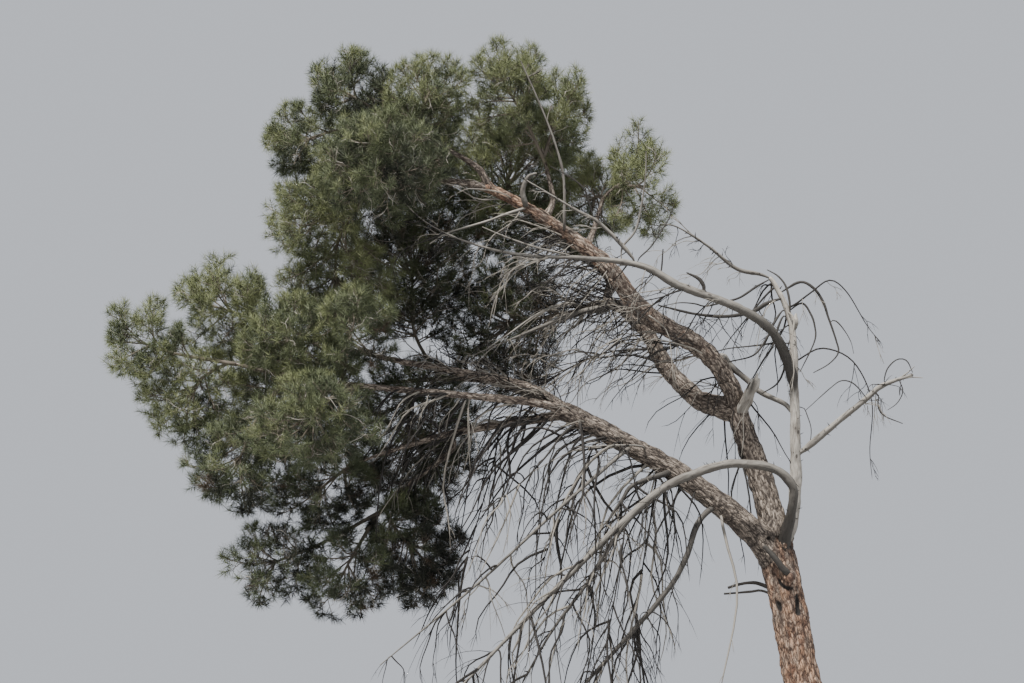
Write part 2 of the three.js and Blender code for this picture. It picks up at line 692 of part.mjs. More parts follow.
function growBareMass(spec, index, limbs, solids) {
  THREE.MathUtils.seededRandom(3000 + index);
  const parent = limbs.find((limb) => limb.name === spec.on);
  const stemLine = smoothCurve([footOn(parent, vector(spec.path[0])), ...spec.path.map(vector)]);
  const form = { radii: BARE_STEM_RADII, sides: 4, step: RING_STEP };
  const stem = largestPiece(bentTube(stemLine, form).subtract(parent.shell));
  const spine = spineOf(stemLine);
  const obstacles = [...limbs.map((limb) => limb.guard), ...solids];
  const whips = [];
  for (let attempt = 0; attempt < WHIP_TRIES && whips.length < WHIPS_PER_MASS; attempt += 1) {
    const share = between(...WHIP_STRETCH);
    const curve = whipCurve(spine.getPointAt(share), spec.drift);
    const radii = [WHIP_FOOT * alongList(BARE_STEM_RADII, share), WHIP_TIP];
    const whip = bentTube(curve, { radii, sides: 3, step: curve.getLength() / 3 });
    if (touches(whip, [stem]) && !touches(whip, obstacles)) {
      whips.push(whip);
    }
  }
  return tidied(wasm.Manifold.union([stem, ...whips]));
}

// The tree

function growPine() {
  const pine = new THREE.Group();
  const limbs = growLimbs();
  limbs.forEach((limb) => pine.add(meshOf(limb.name, limb.look, limb.solid)));

  const stems = [];
  FOLIAGE.forEach((spec, index) => stems.push(growStem(spec, index, limbs, stems)));
  const spaces = stems.map((stem) => stem.space);
  const limbGuards = limbs.map((limb) => limb.guard);
  const solids = stems.map((stem, index) => {
    const otherStems = stems.filter((other) => other !== stem).map((other) => other.guard);
    return growFoliage(stem, index, [...limbGuards, ...otherStems], spaces);
  });
  stems.forEach((stem, index) => pine.add(meshOf(stem.name, 'needles', solids[index])));

  BARE_TWIGS.forEach((spec, index) => {
    const solid = growBareMass(spec, index, limbs, solids);
    solids.push(solid);
    pine.add(meshOf(spec.name, 'bareTwigs', solid));
  });
  return pine;
}

export default growPine();
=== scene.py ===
# The bark, boughs, twigs and needles of a leaning pine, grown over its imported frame. Metres, +Z up,
# with the origin on the ground at the foot of the trunk. The crown sweeps towards -X, seen from -Y.

import math
from dataclasses import dataclass

import bpy
import numpy as np
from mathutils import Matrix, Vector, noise


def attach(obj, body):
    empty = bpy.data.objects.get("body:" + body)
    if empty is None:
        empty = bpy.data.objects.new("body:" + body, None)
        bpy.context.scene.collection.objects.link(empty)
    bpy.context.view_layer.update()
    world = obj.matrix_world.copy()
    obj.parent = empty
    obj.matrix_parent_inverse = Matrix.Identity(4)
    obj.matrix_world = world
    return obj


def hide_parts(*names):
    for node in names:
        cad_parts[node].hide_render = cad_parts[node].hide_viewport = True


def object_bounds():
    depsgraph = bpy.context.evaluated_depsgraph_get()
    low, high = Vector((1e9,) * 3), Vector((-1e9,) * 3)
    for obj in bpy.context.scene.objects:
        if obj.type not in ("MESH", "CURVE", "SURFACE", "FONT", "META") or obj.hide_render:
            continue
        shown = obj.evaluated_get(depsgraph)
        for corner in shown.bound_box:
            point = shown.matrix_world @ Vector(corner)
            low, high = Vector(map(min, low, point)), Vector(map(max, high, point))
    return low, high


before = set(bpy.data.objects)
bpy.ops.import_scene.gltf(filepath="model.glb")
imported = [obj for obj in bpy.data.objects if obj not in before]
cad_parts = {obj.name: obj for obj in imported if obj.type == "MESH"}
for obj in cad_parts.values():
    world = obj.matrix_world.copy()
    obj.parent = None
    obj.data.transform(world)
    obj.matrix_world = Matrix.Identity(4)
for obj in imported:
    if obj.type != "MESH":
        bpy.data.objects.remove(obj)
cad_box = [list(corner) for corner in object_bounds()]

UP = np.array([0.0, 0.0, 1.0])
GOLDEN_TURN = math.radians(137.5)
LINE_STEP = 0.05  # between the points of a limb's centre line
FEWEST_STEPS = 6
PULL_BACK = 0.75  # how far a limb's foot lies back along its parent, in parent radii

# Limbs, foot to tip: what each grows on, radii at even steps along it, and the points that its centre
# line passes through after it has left its parent

LIMBS = [
    ("trunk", None, [0.3, 0.287, 0.276, 0.266],
     [(0.02, 0, -0.3), (0, 0, 0), (-0.08, 0, 0.93), (-0.31, 0, 1.96), (-0.49, 0, 2.99), (-0.67, 0, 3.86)]),
    ("low_bough", "trunk", [0.205, 0.174, 0.164, 0.155, 0.147],
     [(-1.03, -0.06, 4.16), (-2.06, -0.2, 4.95), (-3.03, -0.25, 5.52), (-3.85, -0.2, 5.95)]),
    ("high_bough", "trunk", [0.205, 0.194, 0.178, 0.146, 0.148, 0.14, 0.12, 0.098, 0.064],
     [(-0.74, 0.1, 4.48), (-1.18, 0.2, 5.86), (-1.32, 0.08, 6.33), (-1.75, -0.12, 6.88),
      (-2.63, -0.25, 7.43), (-3.28, -0.3, 8.2), (-4.3, -0.3, 8.94), (-4.96, -0.25, 9.32)]),
    ("inner_bough", "high_bough", [0.165, 0.14, 0.13, 0.112, 0.09, 0.05],
     [(-1.55, 0.38, 6.09), (-1.82, 0.5, 6.22), (-2.24, 0.6, 6.66), (-2.56, 0.64, 7.23), (-3.04, 0.7, 7.67),
      (-3.8, 0.9, 7.53)]),
    ("low_bough_upper", "low_bough", [0.097, 0.075, 0.057, 0.04, 0.024],
     [(-4.38, -0.06, 6.3), (-5.45, 0.3, 6.59), (-6.44, 0.45, 6.79), (-7.7, 0.35, 7.1)]),
    ("low_bough_middle", "low_bough", [0.066, 0.056, 0.05, 0.044, 0.022],
     [(-4.35, -0.42, 6.05), (-6.22, -0.7, 6.2), (-7.59, -0.5, 6.37), (-9, -0.2, 6.7)]),
    ("low_bough_under", "low_bough", [0.072, 0.066, 0.055, 0.04, 0.02],
     [(-4.33, 0.1, 5.83), (-4.96, 0.3, 5.75), (-5.78, 0.4, 5.59), (-7.1, 0.2, 5.15)]),
    ("low_bough_drop", "low_bough_under", [0.048, 0.038, 0.024],
     [(-5.54, 0.5, 5.4), (-6.31, 0.55, 4.77), (-6.82, 0.45, 4.2)]),
    ("low_bough_back", "low_bough", [0.074, 0.055, 0.038, 0.024],
     [(-4.18, 0.42, 6.18), (-5.09, 1.2, 6.56), (-6.35, 1.8, 6.6), (-7.3, 2, 6.45)]),
    ("crown_bough_left", "high_bough", [0.06, 0.046, 0.034, 0.022],
     [(-5.68, -0.2, 9.43), (-6.44, -0.1, 9.33), (-7.12, 0, 9.12)]),
    ("crown_bough_top", "high_bough", [0.052, 0.044, 0.034, 0.022],
     [(-5.15, -0.32, 9.62), (-5.7, -0.3, 9.95), (-6.29, -0.2, 10.25)]),
    ("crown_bough_peak", "high_bough", [0.055, 0.04, 0.024],
     [(-3.98, 0.02, 9.15), (-4.06, 0.12, 9.6), (-4.15, 0.2, 10)]),
    ("crown_bough_right", "high_bough", [0.055, 0.038, 0.022],
     [(-3.35, 0.08, 8.75), (-3.2, 0.35, 9.25), (-2.95, 0.42, 9.5)]),
    ("crown_bough_back", "inner_bough", [0.066, 0.052, 0.038, 0.024],
     [(-3.16, 1.15, 8.2), (-4.16, 1.8, 9), (-5.15, 2.05, 9.35)]),
    ("dead_leader", "trunk", [0.1, 0.09, 0.08, 0.06, 0.05, 0.03],
     [(-0.44, -0.02, 4.29), (-0.37, -0.06, 4.93), (-0.38, -0.11, 6.11), (-0.38, -0.1, 6.95),
      (-0.46, -0.08, 7.44), (-0.63, -0.06, 7.83), (-0.72, -0.05, 7.97)]),
    ("dead_hook", "trunk", [0.09, 0.084, 0.07, 0.062, 0.06, 0.06],
     [(-0.51, -0.36, 4.26), (-0.46, -0.5, 4.53), (-0.45, -0.56, 4.74), (-0.57, -0.59, 4.92),
      (-0.72, -0.6, 5.03), (-0.92, -0.62, 5.09), (-1.13, -0.63, 5.11)]),
    ("dead_droop", "dead_hook", [0.06, 0.058, 0.05, 0.042, 0.034, 0.025, 0.014],
     [(-1.42, -0.68, 5.1), (-1.84, -0.75, 4.99), (-2.58, -0.85, 4.59), (-3.98, -0.95, 3.25),
      (-5.38, -1, 1.81)]),
    ("dead_arch", "dead_leader", [0.076, 0.072, 0.064, 0.06],
     [(-0.385, -0.12, 6.2), (-0.4, -0.17, 6.38), (-0.46, -0.26, 6.57), (-0.54, -0.36, 6.78),
      (-0.75, -0.5, 7.11), (-1.1, -0.66, 7.35), (-1.53, -0.79, 7.52)]),
    ("dead_arch_left", "dead_arch", [0.06, 0.057, 0.04, 0.028, 0.021, 0.015, 0.01, 0.006],
     [(-2.13, -0.88, 7.73), (-2.71, -0.93, 8.02), (-3.51, -0.97, 8.12), (-4.47, -1.03, 8.16),
      (-5.27, -1.08, 8.35), (-5.9, -1.12, 8.66), (-6.38, -1.15, 9.14)]),
    ("dead_arch_upper", "dead_arch_left", [0.036, 0.027, 0.018, 0.009],
     [(-2.83, -0.96, 8.14), (-3.29, -1.02, 8.62), (-3.67, -1.08, 8.83), (-4.45, -1.2, 9.28)]),
    ("dead_side_arm", "dead_leader", [0.055, 0.045, 0.04, 0.036, 0.02],
     [(-0.26, -0.14, 5.35), (0.1, -0.23, 5.65), (0.66, -0.33, 6.1), (0.91, -0.37, 6.3), (1.36, -0.4, 6.46)]),
    ("dead_top_arm", "dead_leader", [0.036, 0.03, 0.024, 0.016, 0.008],
     [(-0.86, -0.1, 8.01), (-1.25, -0.22, 8.09), (-1.66, -0.38, 8.39), (-2.11, -0.52, 8.65),
      (-2.37, -0.6, 8.7)]),
    ("dead_hanger", "low_bough", [0.046, 0.04, 0.034, 0.022],
     [(-1.86, -0.42, 4.25), (-2.06, -0.5, 3.7), (-2.43, -0.55, 3.12), (-3.75, -0.6, 1.66)]),
    ("long_whip", "low_bough", [0.03, 0.024, 0.018, 0.008],
     [(-3.06, -0.56, 5.2), (-4, -0.8, 4.36), (-5.09, -0.9, 3.35), (-6.51, -1, 2.16)]),
    ("dead_spar", "high_bough", [0.024, 0.02, 0.016, 0.009],
     [(-3.82, -0.5, 8.74), (-3.84, -0.56, 9.48), (-4.08, -0.62, 10.25), (-4.47, -0.7, 11.15)]),
]

CONTINUED = {"dead_droop", "dead_arch_left"}  # limbs that go on from their parent's tip

# Dead branchlets and stubs, too slight for limbs of their own in the frame, in the same form

BRANCHLETS = [
    ("arch_horn", "dead_arch_left", [0.03, 0.026, 0.012],
     [(-1.77, -0.87, 7.72), (-1.85, -0.89, 7.83), (-2.03, -0.9, 7.92)]),
    ("arch_stub", "dead_arch_left", [0.017, 0.008], [(-2.39, -0.88, 8.0), (-2.37, -0.9, 8.27)]),
    ("arch_whip", "dead_arch_left", [0.0195, 0.0078],
     [(-2.97, -0.95, 8.29), (-2.78, -0.99, 8.53), (-2.69, -1.02, 8.91), (-2.63, -1.06, 9.32),
      (-2.62, -1.1, 9.7)]),
    ("arch_twig", "dead_arch_left", [0.0143, 0.0065],
     [(-2.73, -0.95, 8.12), (-2.54, -0.97, 8.31), (-2.29, -0.98, 8.7), (-2.21, -1.0, 8.92)]),
    ("arch_second", "dead_arch_left", [0.02, 0.008],
     [(-3.75, -1.0, 8.16), (-4.06, -1.05, 8.22), (-4.34, -1.1, 8.29), (-4.72, -1.15, 8.42),
      (-5.04, -1.2, 8.55)]),
    ("upper_fork", "dead_arch_upper", [0.018, 0.007],
     [(-3.41, -1.05, 8.74), (-3.47, -1.1, 8.95), (-3.55, -1.15, 9.14), (-3.74, -1.2, 9.29),
      (-4.04, -1.25, 9.45)]),
    ("grey_limb", "high_bough", [0.024, 0.011],
     [(-4.5, -0.45, 8.93), (-4.73, -0.53, 8.84), (-4.99, -0.6, 8.73), (-5.54, -0.68, 8.55),
      (-5.82, -0.75, 8.37)]),
    ("crook", "high_bough", [0.036, 0.032, 0.014],
     [(-4.41, -0.42, 9.05), (-4.44, -0.47, 9.23), (-4.36, -0.53, 9.42), (-4.23, -0.6, 9.46)]),
    ("behind_pole", "high_bough", [0.05, 0.046, 0.04, 0.037, 0.03],
     [(-1.44, 0.04, 6.79), (-1.36, 0.1, 6.7), (-1.25, 0.1, 6.59), (-1.08, 0.08, 6.45), (-0.89, 0.05, 6.26),
      (-0.66, 0.02, 6.14), (-0.51, 0, 6.06), (-0.42, -0.05, 5.95)]),
    ("broken_stub", "high_bough", [0.05, 0.07, 0.082, 0.07, 0.03],
     [(-1.14, 0.06, 6.0), (-1.09, -0.06, 6.1), (-1.04, -0.2, 6.24), (-0.97, -0.3, 6.38)]),
    ("rear_limb", "dead_leader", [0.036, 0.026, 0.013],
     [(-0.56, -0.1, 7.64), (-0.77, -0.14, 7.57), (-1.01, -0.19, 7.43), (-1.39, -0.27, 7.35),
      (-1.85, -0.31, 7.38), (-2.42, -0.4, 7.5)]),
    ("rear_bow", "dead_leader", [0.02, 0.017, 0.012, 0.006],
     [(-0.83, -0.1, 7.88), (-0.94, -0.16, 7.81), (-1.19, -0.24, 7.64), (-1.4, -0.3, 7.57),
      (-1.71, -0.38, 7.49), (-1.87, -0.42, 7.52), (-2.1, -0.46, 7.53), (-2.34, -0.5, 7.48)]),
    ("rear_drop", "dead_leader", [0.024, 0.009],
     [(-0.54, -0.1, 7.46), (-0.69, -0.18, 7.24), (-0.79, -0.26, 7.03), (-1.0, -0.34, 6.76),
      (-1.38, -0.5, 6.64)]),
    ("rear_fall", "dead_leader", [0.022, 0.009],
     [(-0.52, -0.1, 7.38), (-0.6, -0.14, 7.24), (-0.7, -0.18, 6.92), (-0.87, -0.22, 6.66),
      (-1.11, -0.3, 6.25)]),
    ("rear_hook", "dead_leader", [0.021, 0.01],
     [(-0.5, -0.1, 6.84), (-0.53, -0.17, 6.58), (-0.65, -0.23, 6.34), (-0.88, -0.3, 6.19)]),
    ("rear_level", "dead_leader", [0.017, 0.007],
     [(-0.5, -0.1, 6.97), (-0.74, -0.18, 6.95), (-0.99, -0.25, 6.91), (-1.37, -0.33, 6.86),
      (-1.58, -0.4, 6.8)]),
    ("right_arch_near", "dead_leader", [0.026, 0.018, 0.007],
     [(-0.28, -0.12, 7.89), (-0.08, -0.15, 7.8), (0.06, -0.17, 7.59), (0.14, -0.2, 7.33), (0.25, -0.22, 6.98),
      (0.27, -0.25, 6.8), (0.12, -0.28, 6.63), (-0.11, -0.3, 6.5)]),
    ("right_drop", "dead_leader", [0.02, 0.007],
     [(-0.25, -0.13, 7.57), (-0.12, -0.17, 7.39), (-0.07, -0.2, 7.21), (-0.08, -0.23, 6.98),
      (-0.31, -0.3, 6.51)]),
    ("arm_loop", "dead_side_arm", [0.0143, 0.0065],
     [(0.93, -0.4, 6.38), (0.98, -0.43, 6.55), (1.12, -0.45, 6.68), (1.26, -0.47, 6.66), (1.34, -0.5, 6.48)]),
    ("arm_hanger", "dead_side_arm", [0.0156, 0.0065],
     [(0.84, -0.41, 6.15), (0.83, -0.43, 5.98), (0.91, -0.47, 5.84), (1.18, -0.5, 5.72)]),
    ("arm_hook", "dead_side_arm", [0.0104, 0.0052],
     [(1.2, -0.43, 6.21), (1.11, -0.47, 6.03), (0.96, -0.5, 5.92)]),
    ("arm_bow", "dead_side_arm", [0.0117, 0.0052],
     [(0.64, -0.4, 6.14), (0.47, -0.44, 6.32), (0.29, -0.48, 6.36), (0.12, -0.52, 6.25),
      (-0.26, -0.6, 5.91)]),
    ("pole_twig", "dead_leader", [0.0104, 0.0052],
     [(-0.25, -0.1, 6.0), (-0.19, -0.13, 5.87), (-0.14, -0.17, 5.66), (-0.17, -0.2, 5.4)]),
    ("droop_fork", "dead_droop", [0.036, 0.026, 0.013],
     [(-2.73, -0.88, 4.4), (-2.95, -0.9, 4.21), (-3.32, -0.93, 3.65), (-3.55, -0.95, 3.29),
      (-4.01, -0.97, 2.67), (-4.44, -1.0, 1.93)]),
    ("under_whip", "low_bough", [0.02, 0.007],
     [(-3.85, -0.45, 5.56), (-4.11, -0.6, 5.21), (-4.44, -0.7, 4.85), (-4.78, -0.8, 4.57),
      (-5.04, -0.9, 4.38)]),
    ("under_stem", "low_bough", [0.042, 0.032, 0.014],
     [(-2.35, -0.4, 4.98), (-2.7, -0.48, 4.86), (-2.87, -0.5, 4.76), (-2.97, -0.55, 4.6), (-3.12, -0.6, 4.38),
      (-3.22, -0.65, 4.2)]),
    ("pale_whip", "low_bough", [0.014, 0.005],
     [(-2.72, -0.5, 5.39), (-3.41, -0.6, 5.37), (-3.75, -0.65, 5.28), (-4.1, -0.7, 5.1),
      (-4.33, -0.75, 4.96)]),
    ("trunk_twig_upper", "trunk", [0.03, 0.026, 0.02],
     [(-0.87, 0.04, 3.36), (-1.02, -0.02, 3.39), (-1.21, -0.1, 3.37), (-1.4, -0.18, 3.31)]),
    ("trunk_twig_lower", "trunk", [0.02, 0.015],
     [(-0.86, 0.04, 3.27), (-1.05, -0.02, 3.26), (-1.25, -0.1, 3.24), (-1.46, -0.18, 3.22)]),
    ("trunk_stub", "trunk", [0.07, 0.048, 0.042, 0.03],
     [(-0.53, -0.28, 3.5), (-0.6, -0.34, 3.59), (-0.72, -0.36, 3.74), (-0.88, -0.33, 3.92)]),
    ("arm_splinter", "dead_side_arm", [0.016, 0.005],
     [(1.18, -0.4, 6.42), (1.28, -0.41, 6.49), (1.38, -0.42, 6.58)]),
    ("arm_splinter_low", "dead_side_arm", [0.016, 0.005],
     [(1.22, -0.4, 6.4), (1.34, -0.41, 6.42), (1.5, -0.42, 6.41)]),
    ("pole_break", "dead_leader", [0.056, 0.04, 0.012], [(-0.36, -0.12, 7.22), (-0.34, -0.13, 7.42)]),
    ("right_arch_tip", "right_arch_near", [0.0104, 0.0039],
     [(0.23, -0.2, 7.3), (0.34, -0.22, 7.19), (0.46, -0.24, 6.98), (0.5, -0.26, 6.79)]),
    ("stub_splinter", "broken_stub", [0.04, 0.03, 0.008],
     [(-1.01, -0.27, 6.28), (-0.97, -0.3, 6.4), (-0.94, -0.32, 6.5)]),
    ("stub_splinter_right", "broken_stub", [0.04, 0.034, 0.01],
     [(-0.98, -0.24, 6.24), (-0.94, -0.27, 6.33), (-0.91, -0.29, 6.42)]),
    ("stub_splinter_left", "broken_stub", [0.03, 0.026, 0.008],
     [(-1.08, -0.22, 6.24), (-1.05, -0.26, 6.34), (-1.02, -0.28, 6.43)]),
    ("pole_strip", "dead_leader", [0.024, 0.018, 0.008],
     [(-0.43, -0.12, 7.45), (-0.44, -0.12, 7.63), (-0.49, -0.1, 7.84), (-0.59, -0.08, 7.98),
      (-0.67, -0.06, 8.04), (-0.76, -0.04, 8.09)]),
    ("inner_second", "inner_bough", [0.06, 0.04, 0.022, 0.01],
     [(-3.26, 0.5, 7.57), (-3.47, 0.45, 7.53), (-3.74, 0.4, 7.44), (-4.14, 0.32, 7.28),
      (-4.63, 0.22, 7.06), (-5.12, 0.1, 6.84)]),
    ("inner_pale", "inner_bough", [0.024, 0.018, 0.008],
     [(-3.69, 0.5, 7.65), (-3.97, 0.4, 7.59), (-4.3, 0.3, 7.41), (-4.63, 0.2, 7.16), (-4.96, 0.1, 6.92)]),
]

# Scars: a slit and a knot in the trunk, the crease under the foot of the dead limbs and the cavity in the
# broken stub, each from one end to the other and how wide, sunk and darkened as painted shade, the crease
# as the dead limbs' painted shadow. The burl swells under the stub on the trunk.

HOLLOWS = [
    ((-0.372, -0.24, 3.19), (-0.37, -0.25, 2.94), 0.05),
    ((-0.71, -0.22, 3.07), (-0.67, -0.23, 3.01), 0.07),
    ((-0.92, -0.17, 3.96), (-0.707, -0.26, 4.11), 0.03),
    ((-0.707, -0.26, 4.11), (-0.52, -0.2, 4.24), 0.045),
    ((-1.0, -0.33, 6.37), (-1.065, -0.28, 6.19), 0.042),
]
BURL_PLACE, BURL_SIZE, BURL_RISE = (-0.5, -0.28, 3.45), 0.13, 0.1
# The burl's crease on this side is sunk and darkened as its painted shadow.
BURL_SHADE = (-0.5, 0, -0.7)  # the side of it that has a crease
CREASE_AWAY, CREASE_WIDTH = 1.15, 0.25  # from the middle of the burl, in its sizes

# How the limbs are gathered into pieces

MAIN_LIMBS = ["trunk", "low_bough", "high_bough", "inner_bough"]
DEAD_LIMBS = [name for name, *_ in LIMBS if name.startswith("dead_") and name not in
              ("dead_arch_upper", "dead_top_arm", "dead_hanger", "dead_spar")]
THIN_DEAD_LIMBS = ["dead_arch_upper", "dead_top_arm", "dead_hanger", "long_whip", "dead_spar"]
SMALL_LIMBS = [name for name, *_ in LIMBS if name not in MAIN_LIMBS + DEAD_LIMBS + THIN_DEAD_LIMBS]
STOUT_BRANCHLETS = ["broken_stub", "stub_splinter", "stub_splinter_right", "stub_splinter_left",
                    "behind_pole", "trunk_stub", "crook", "arch_horn", "pole_break"]
THIN_BRANCHLETS = [name for name, *_ in BRANCHLETS if name not in STOUT_BRANCHLETS]

# Skins of bark: slot, limbs, cell of the skin, how often it is smoothed, width and depth of the plates

BARK_SKINS = {
    "trunk_and_main_boughs": ("trunk_bark", MAIN_LIMBS, 0.0175, 3, 0.055, 0.016),
    "small_boughs": ("bough_bark", SMALL_LIMBS, 0.018, 1, 0.036, 0.006),
}

# Dead wood: limbs, branchlets and the cell of its skin. The slight ones keep their own tubes.

DEAD_SKINS = {
    "dead_limbs": (DEAD_LIMBS, STOUT_BRANCHLETS, 0.0145),
    "dead_branches": (THIN_DEAD_LIMBS, THIN_BRANCHLETS, None),
}

# How warm the bark is, from grey-brown at 0 to orange-brown at 1, at the foot and tip of each limb

WARMTH = {"trunk": (0.95, 0.65), "high_bough": (0.1, 0.75), "low_bough": (0.1, 0.2),
          "low_bough_middle": (0.4, 0.4)}
USUAL_WARMTH = (0.3, 0.4)

# How pale the dead wood is, from dark grey at 0 to bone at 1, all along the limb or at its foot and its tip.
# Its under side is darker as painted shade, and over 1 that is bone too.

PALENESS = {
    # The feet of dead_hook and dead_arch go below 0 as painted shadow, the hook's also for its algae-stained
    # wood.
    "dead_leader": 1.0, "dead_hook": (-0.25, 0.45), "dead_droop": 0.45, "dead_arch": (-0.3, 0.5),
    "dead_arch_left": 0.5, "dead_side_arm": 0.6, "dead_top_arm": 0.45, "dead_hanger": 0.1, "long_whip": 0.35,
    "dead_spar": 0.4, "dead_arch_upper": 0.5, "droop_fork": 0.12, "under_stem": 0.06, "broken_stub": 1.8,
    "crook": 0.5, "grey_limb": 0.6, "behind_pole": 0.5, "pale_whip": 0.5, "arch_second": 0.5,
    "arch_whip": 0.45, "stub_splinter": 1.8, "stub_splinter_right": 1.8, "stub_splinter_left": 1.8,
    "pole_strip": 0.05, "inner_second": 0.3, "inner_pale": 0.6, "trunk_stub": 0.02, "pole_break": 0.9,
    "arm_splinter": 0.6, "arm_splinter_low": 0.6,
}
USUAL_PALENESS = 0.0
SOFTENED = 100  # how often paleness is blended along the mesh's edges, so that it drifts where limbs meet

# Foliage masses: the limb that feeds each, its centre, its reach along X, Y and Z, how full it is, and
# how much painted light its needles get, from painted shade under the crown at 0 to its sunny side at 1

FOLIAGE = [
    ("crown_top_left", "crown_bough_top", (-7.05, 0, 10.78), (0.72, 0.85, 0.75), 1.1, 0.42),
    ("crown_shoulder", "crown_bough_top", (-7.78, 0.2, 10.08), (0.64, 0.8, 0.72), 1.0, 0.56),
    ("crown_top_middle", "crown_bough_top", (-5.85, -0.2, 10.7), (0.75, 0.9, 0.72), 1.05, 0.74),
    ("crown_peak", "crown_bough_peak", (-4.65, 0.1, 10.85), (0.7, 0.85, 0.88), 1.0, 0.82),
    ("crown_top_right", "crown_bough_peak", (-3.82, 0.4, 10.5), (0.5, 0.8, 0.92), 0.85, 0.86),
    ("crown_right_shoulder", "crown_bough_right", (-3.4, 1.05, 9.32), (0.64, 0.8, 0.85), 0.9, 0.85),
    ("crown_lobe_right", "crown_bough_right", (-2.62, 0.2, 9.4), (0.6, 0.72, 1.05), 0.75, 0.9),
    ("crown_left", "crown_bough_left", (-7.64, 0.45, 8.9), (0.78, 1.3, 0.8), 0.9, 0.86),
    ("crown_front", "crown_bough_left", (-6.5, -1.2, 9.45), (1.02, 1.1, 0.88), 1.1, 0.42),
    ("crown_back", "crown_bough_back", (-6.4, 1.85, 10.2), (1.25, 1.2, 1.05), 1.15, 0.5),
    ("crown_back_right", "crown_bough_back", (-4.6, 1.95, 9.85), (1.2, 1.15, 1.25), 1.1, 0.58),
    ("crown_under", "crown_bough_left", (-7.25, 0.8, 8.02), (1.05, 1.3, 0.7), 1.0, 0.8),
    ("limb_tip", "low_bough_middle", (-10.13, -0.1, 6.98), (0.74, 0.75, 0.74), 0.9, 0.75),
    ("low_top_left", "low_bough_upper", (-9, 0.3, 7.55), (0.78, 0.85, 0.85), 1.0, 0.8),
    ("low_left", "low_bough_middle", (-9.42, 0.1, 6.2), (0.88, 0.85, 0.8), 0.95, 0.76),
    ("low_top", "low_bough_upper", (-7.85, -0.4, 6.95), (0.88, 0.95, 0.75), 1.05, 0.56),
    ("low_middle", "low_bough_upper", (-6.9, -1, 7.05), (0.72, 0.8, 0.7), 0.9, 0.55),
    ("low_front", "low_bough_middle", (-7.45, -1.5, 5.65), (1, 0.85, 0.75), 1.0, 0.5),
    ("low_under_left", "low_bough_middle", (-8.65, -0.3, 5.1), (0.88, 0.85, 0.78), 1.15, 0.36),
    ("low_belly", "low_bough_under", (-7.5, 0.4, 4.8), (0.9, 0.9, 0.7), 1.0, 0.28),
    ("skirt_left", "low_bough_drop", (-8.2, 0, 3.68), (0.76, 0.75, 0.68), 0.92, 0.3),
    ("skirt_middle", "low_bough_drop", (-7.1, -0.1, 3.52), (0.78, 0.85, 0.72), 0.8, 0.22),
    ("skirt_right", "low_bough_drop", (-6.05, 0.5, 3.92), (0.78, 0.8, 0.92), 1.4, 0.05),
    ("low_back", "low_bough_back", (-8.1, 1.9, 6.5), (1.2, 1.1, 1.1), 0.95, 0.5),
    ("low_back_under", "low_bough_back", (-6.2, 1.8, 5.75), (1.25, 1.15, 1.25), 1.1, 0.3),
    ("heart", "inner_bough", (-4.7, 1.45, 7.5), (0.95, 0.9, 1.3), 1.4, 0.2),
    ("back_middle", "low_bough_back", (-6.1, 1.9, 8.45), (1.35, 1.15, 1.2), 1.3, 0.3),
]

# The share of a mass's shoots that have lost their needles, where it lies in the shade of the others

BARENESS = {"heart": 0.42, "back_middle": 0.3, "crown_under": 0.2, "low_back_under": 0.25, "low_back": 0.1,
            "skirt_left": 0.25, "skirt_middle": 0.2, "low_belly": 0.2}

NEEDLE_PIECES = {
    "needles_crown_left": ["crown_top_left", "crown_shoulder", "crown_left", "crown_front", "crown_under"],
    "needles_crown_right": ["crown_top_middle", "crown_peak", "crown_top_right", "crown_right_shoulder",
                            "crown_lobe_right"],
    "needles_crown_back": ["crown_back", "crown_back_right", "back_middle"],
    "needles_low_left": ["limb_tip", "low_top_left", "low_left", "low_top", "low_middle"],
    "needles_low_front": ["low_front", "low_under_left", "low_belly", "skirt_left", "skirt_middle"],
    "needles_low_back": ["skirt_right", "low_back", "low_back_under", "heart"],
}

# Bare masses: a dead side stem, how many whips it bears and how long they grow, the way that they
# drift, and the points that the stem passes through

BARE_STEMS = [
    ("hangers_low", "low_bough", 15, 1.9, (-0.35, 0, -1.1),
     [(-3.38, -0.33, 5.4), (-3.56, -0.45, 5), (-3.9, -0.56, 4.3), (-4.23, -0.6, 3.45)]),
    ("hangers_under", "low_bough_under", 13, 1.8, (-0.25, 0, -1.1),
     [(-4.82, 0.16, 5.5), (-4.9, 0.08, 5.08), (-5.11, 0, 4.32), (-5.34, -0.1, 3.5)]),
    ("hangers_droop", "dead_droop", 13, 1.5, (-0.2, 0, -1.2),
     [(-2.96, -0.93, 4.15), (-3.02, -1, 3.68), (-3.17, -1.05, 2.81), (-3.33, -1.1, 2)]),
    ("hangers_middle", "low_bough", 16, 2.0, (-0.2, 0, -1.2),
     [(-2.4, -0.06, 4.8), (-2.53, 0.05, 4.33), (-2.68, 0.1, 3.44), (-2.8, 0.1, 2.5)]),
    ("twigs_inner", "inner_bough", 24, 1.9, (-1.0, 0, -0.25),
     [(-2.7, 0.56, 6.95), (-3.15, 0.5, 6.9), (-3.72, 0.45, 6.66), (-4.33, 0.4, 6.24)]),
    ("twigs_leader", "dead_leader", 6, 0.6, (0.5, 0, -0.9),
     [(-0.34, -0.14, 7.56), (-0.12, -0.2, 7.72), (0.16, -0.25, 7.9), (0.41, -0.29, 7.71),
      (0.7, -0.33, 7.2), (0.92, -0.36, 6.92)]),
    ("twigs_side", "dead_leader", 4, 0.6, (0.1, 0, -1.0),
     [(-0.29, -0.1, 6.73), (0.05, -0.12, 6.89), (0.5, -0.14, 6.69), (0.77, -0.15, 6.1),
      (0.73, -0.16, 5.36), (0.76, -0.17, 4.9)]),
    ("twigs_arch", "dead_arch_left", 12, 1.2, (-0.6, 0, -0.7),
     [(-2.06, -0.9, 7.67), (-2.41, -0.91, 7.53), (-2.76, -0.85, 7.19), (-3.19, -0.8, 6.78),
      (-3.54, -0.76, 6.61)]),
]

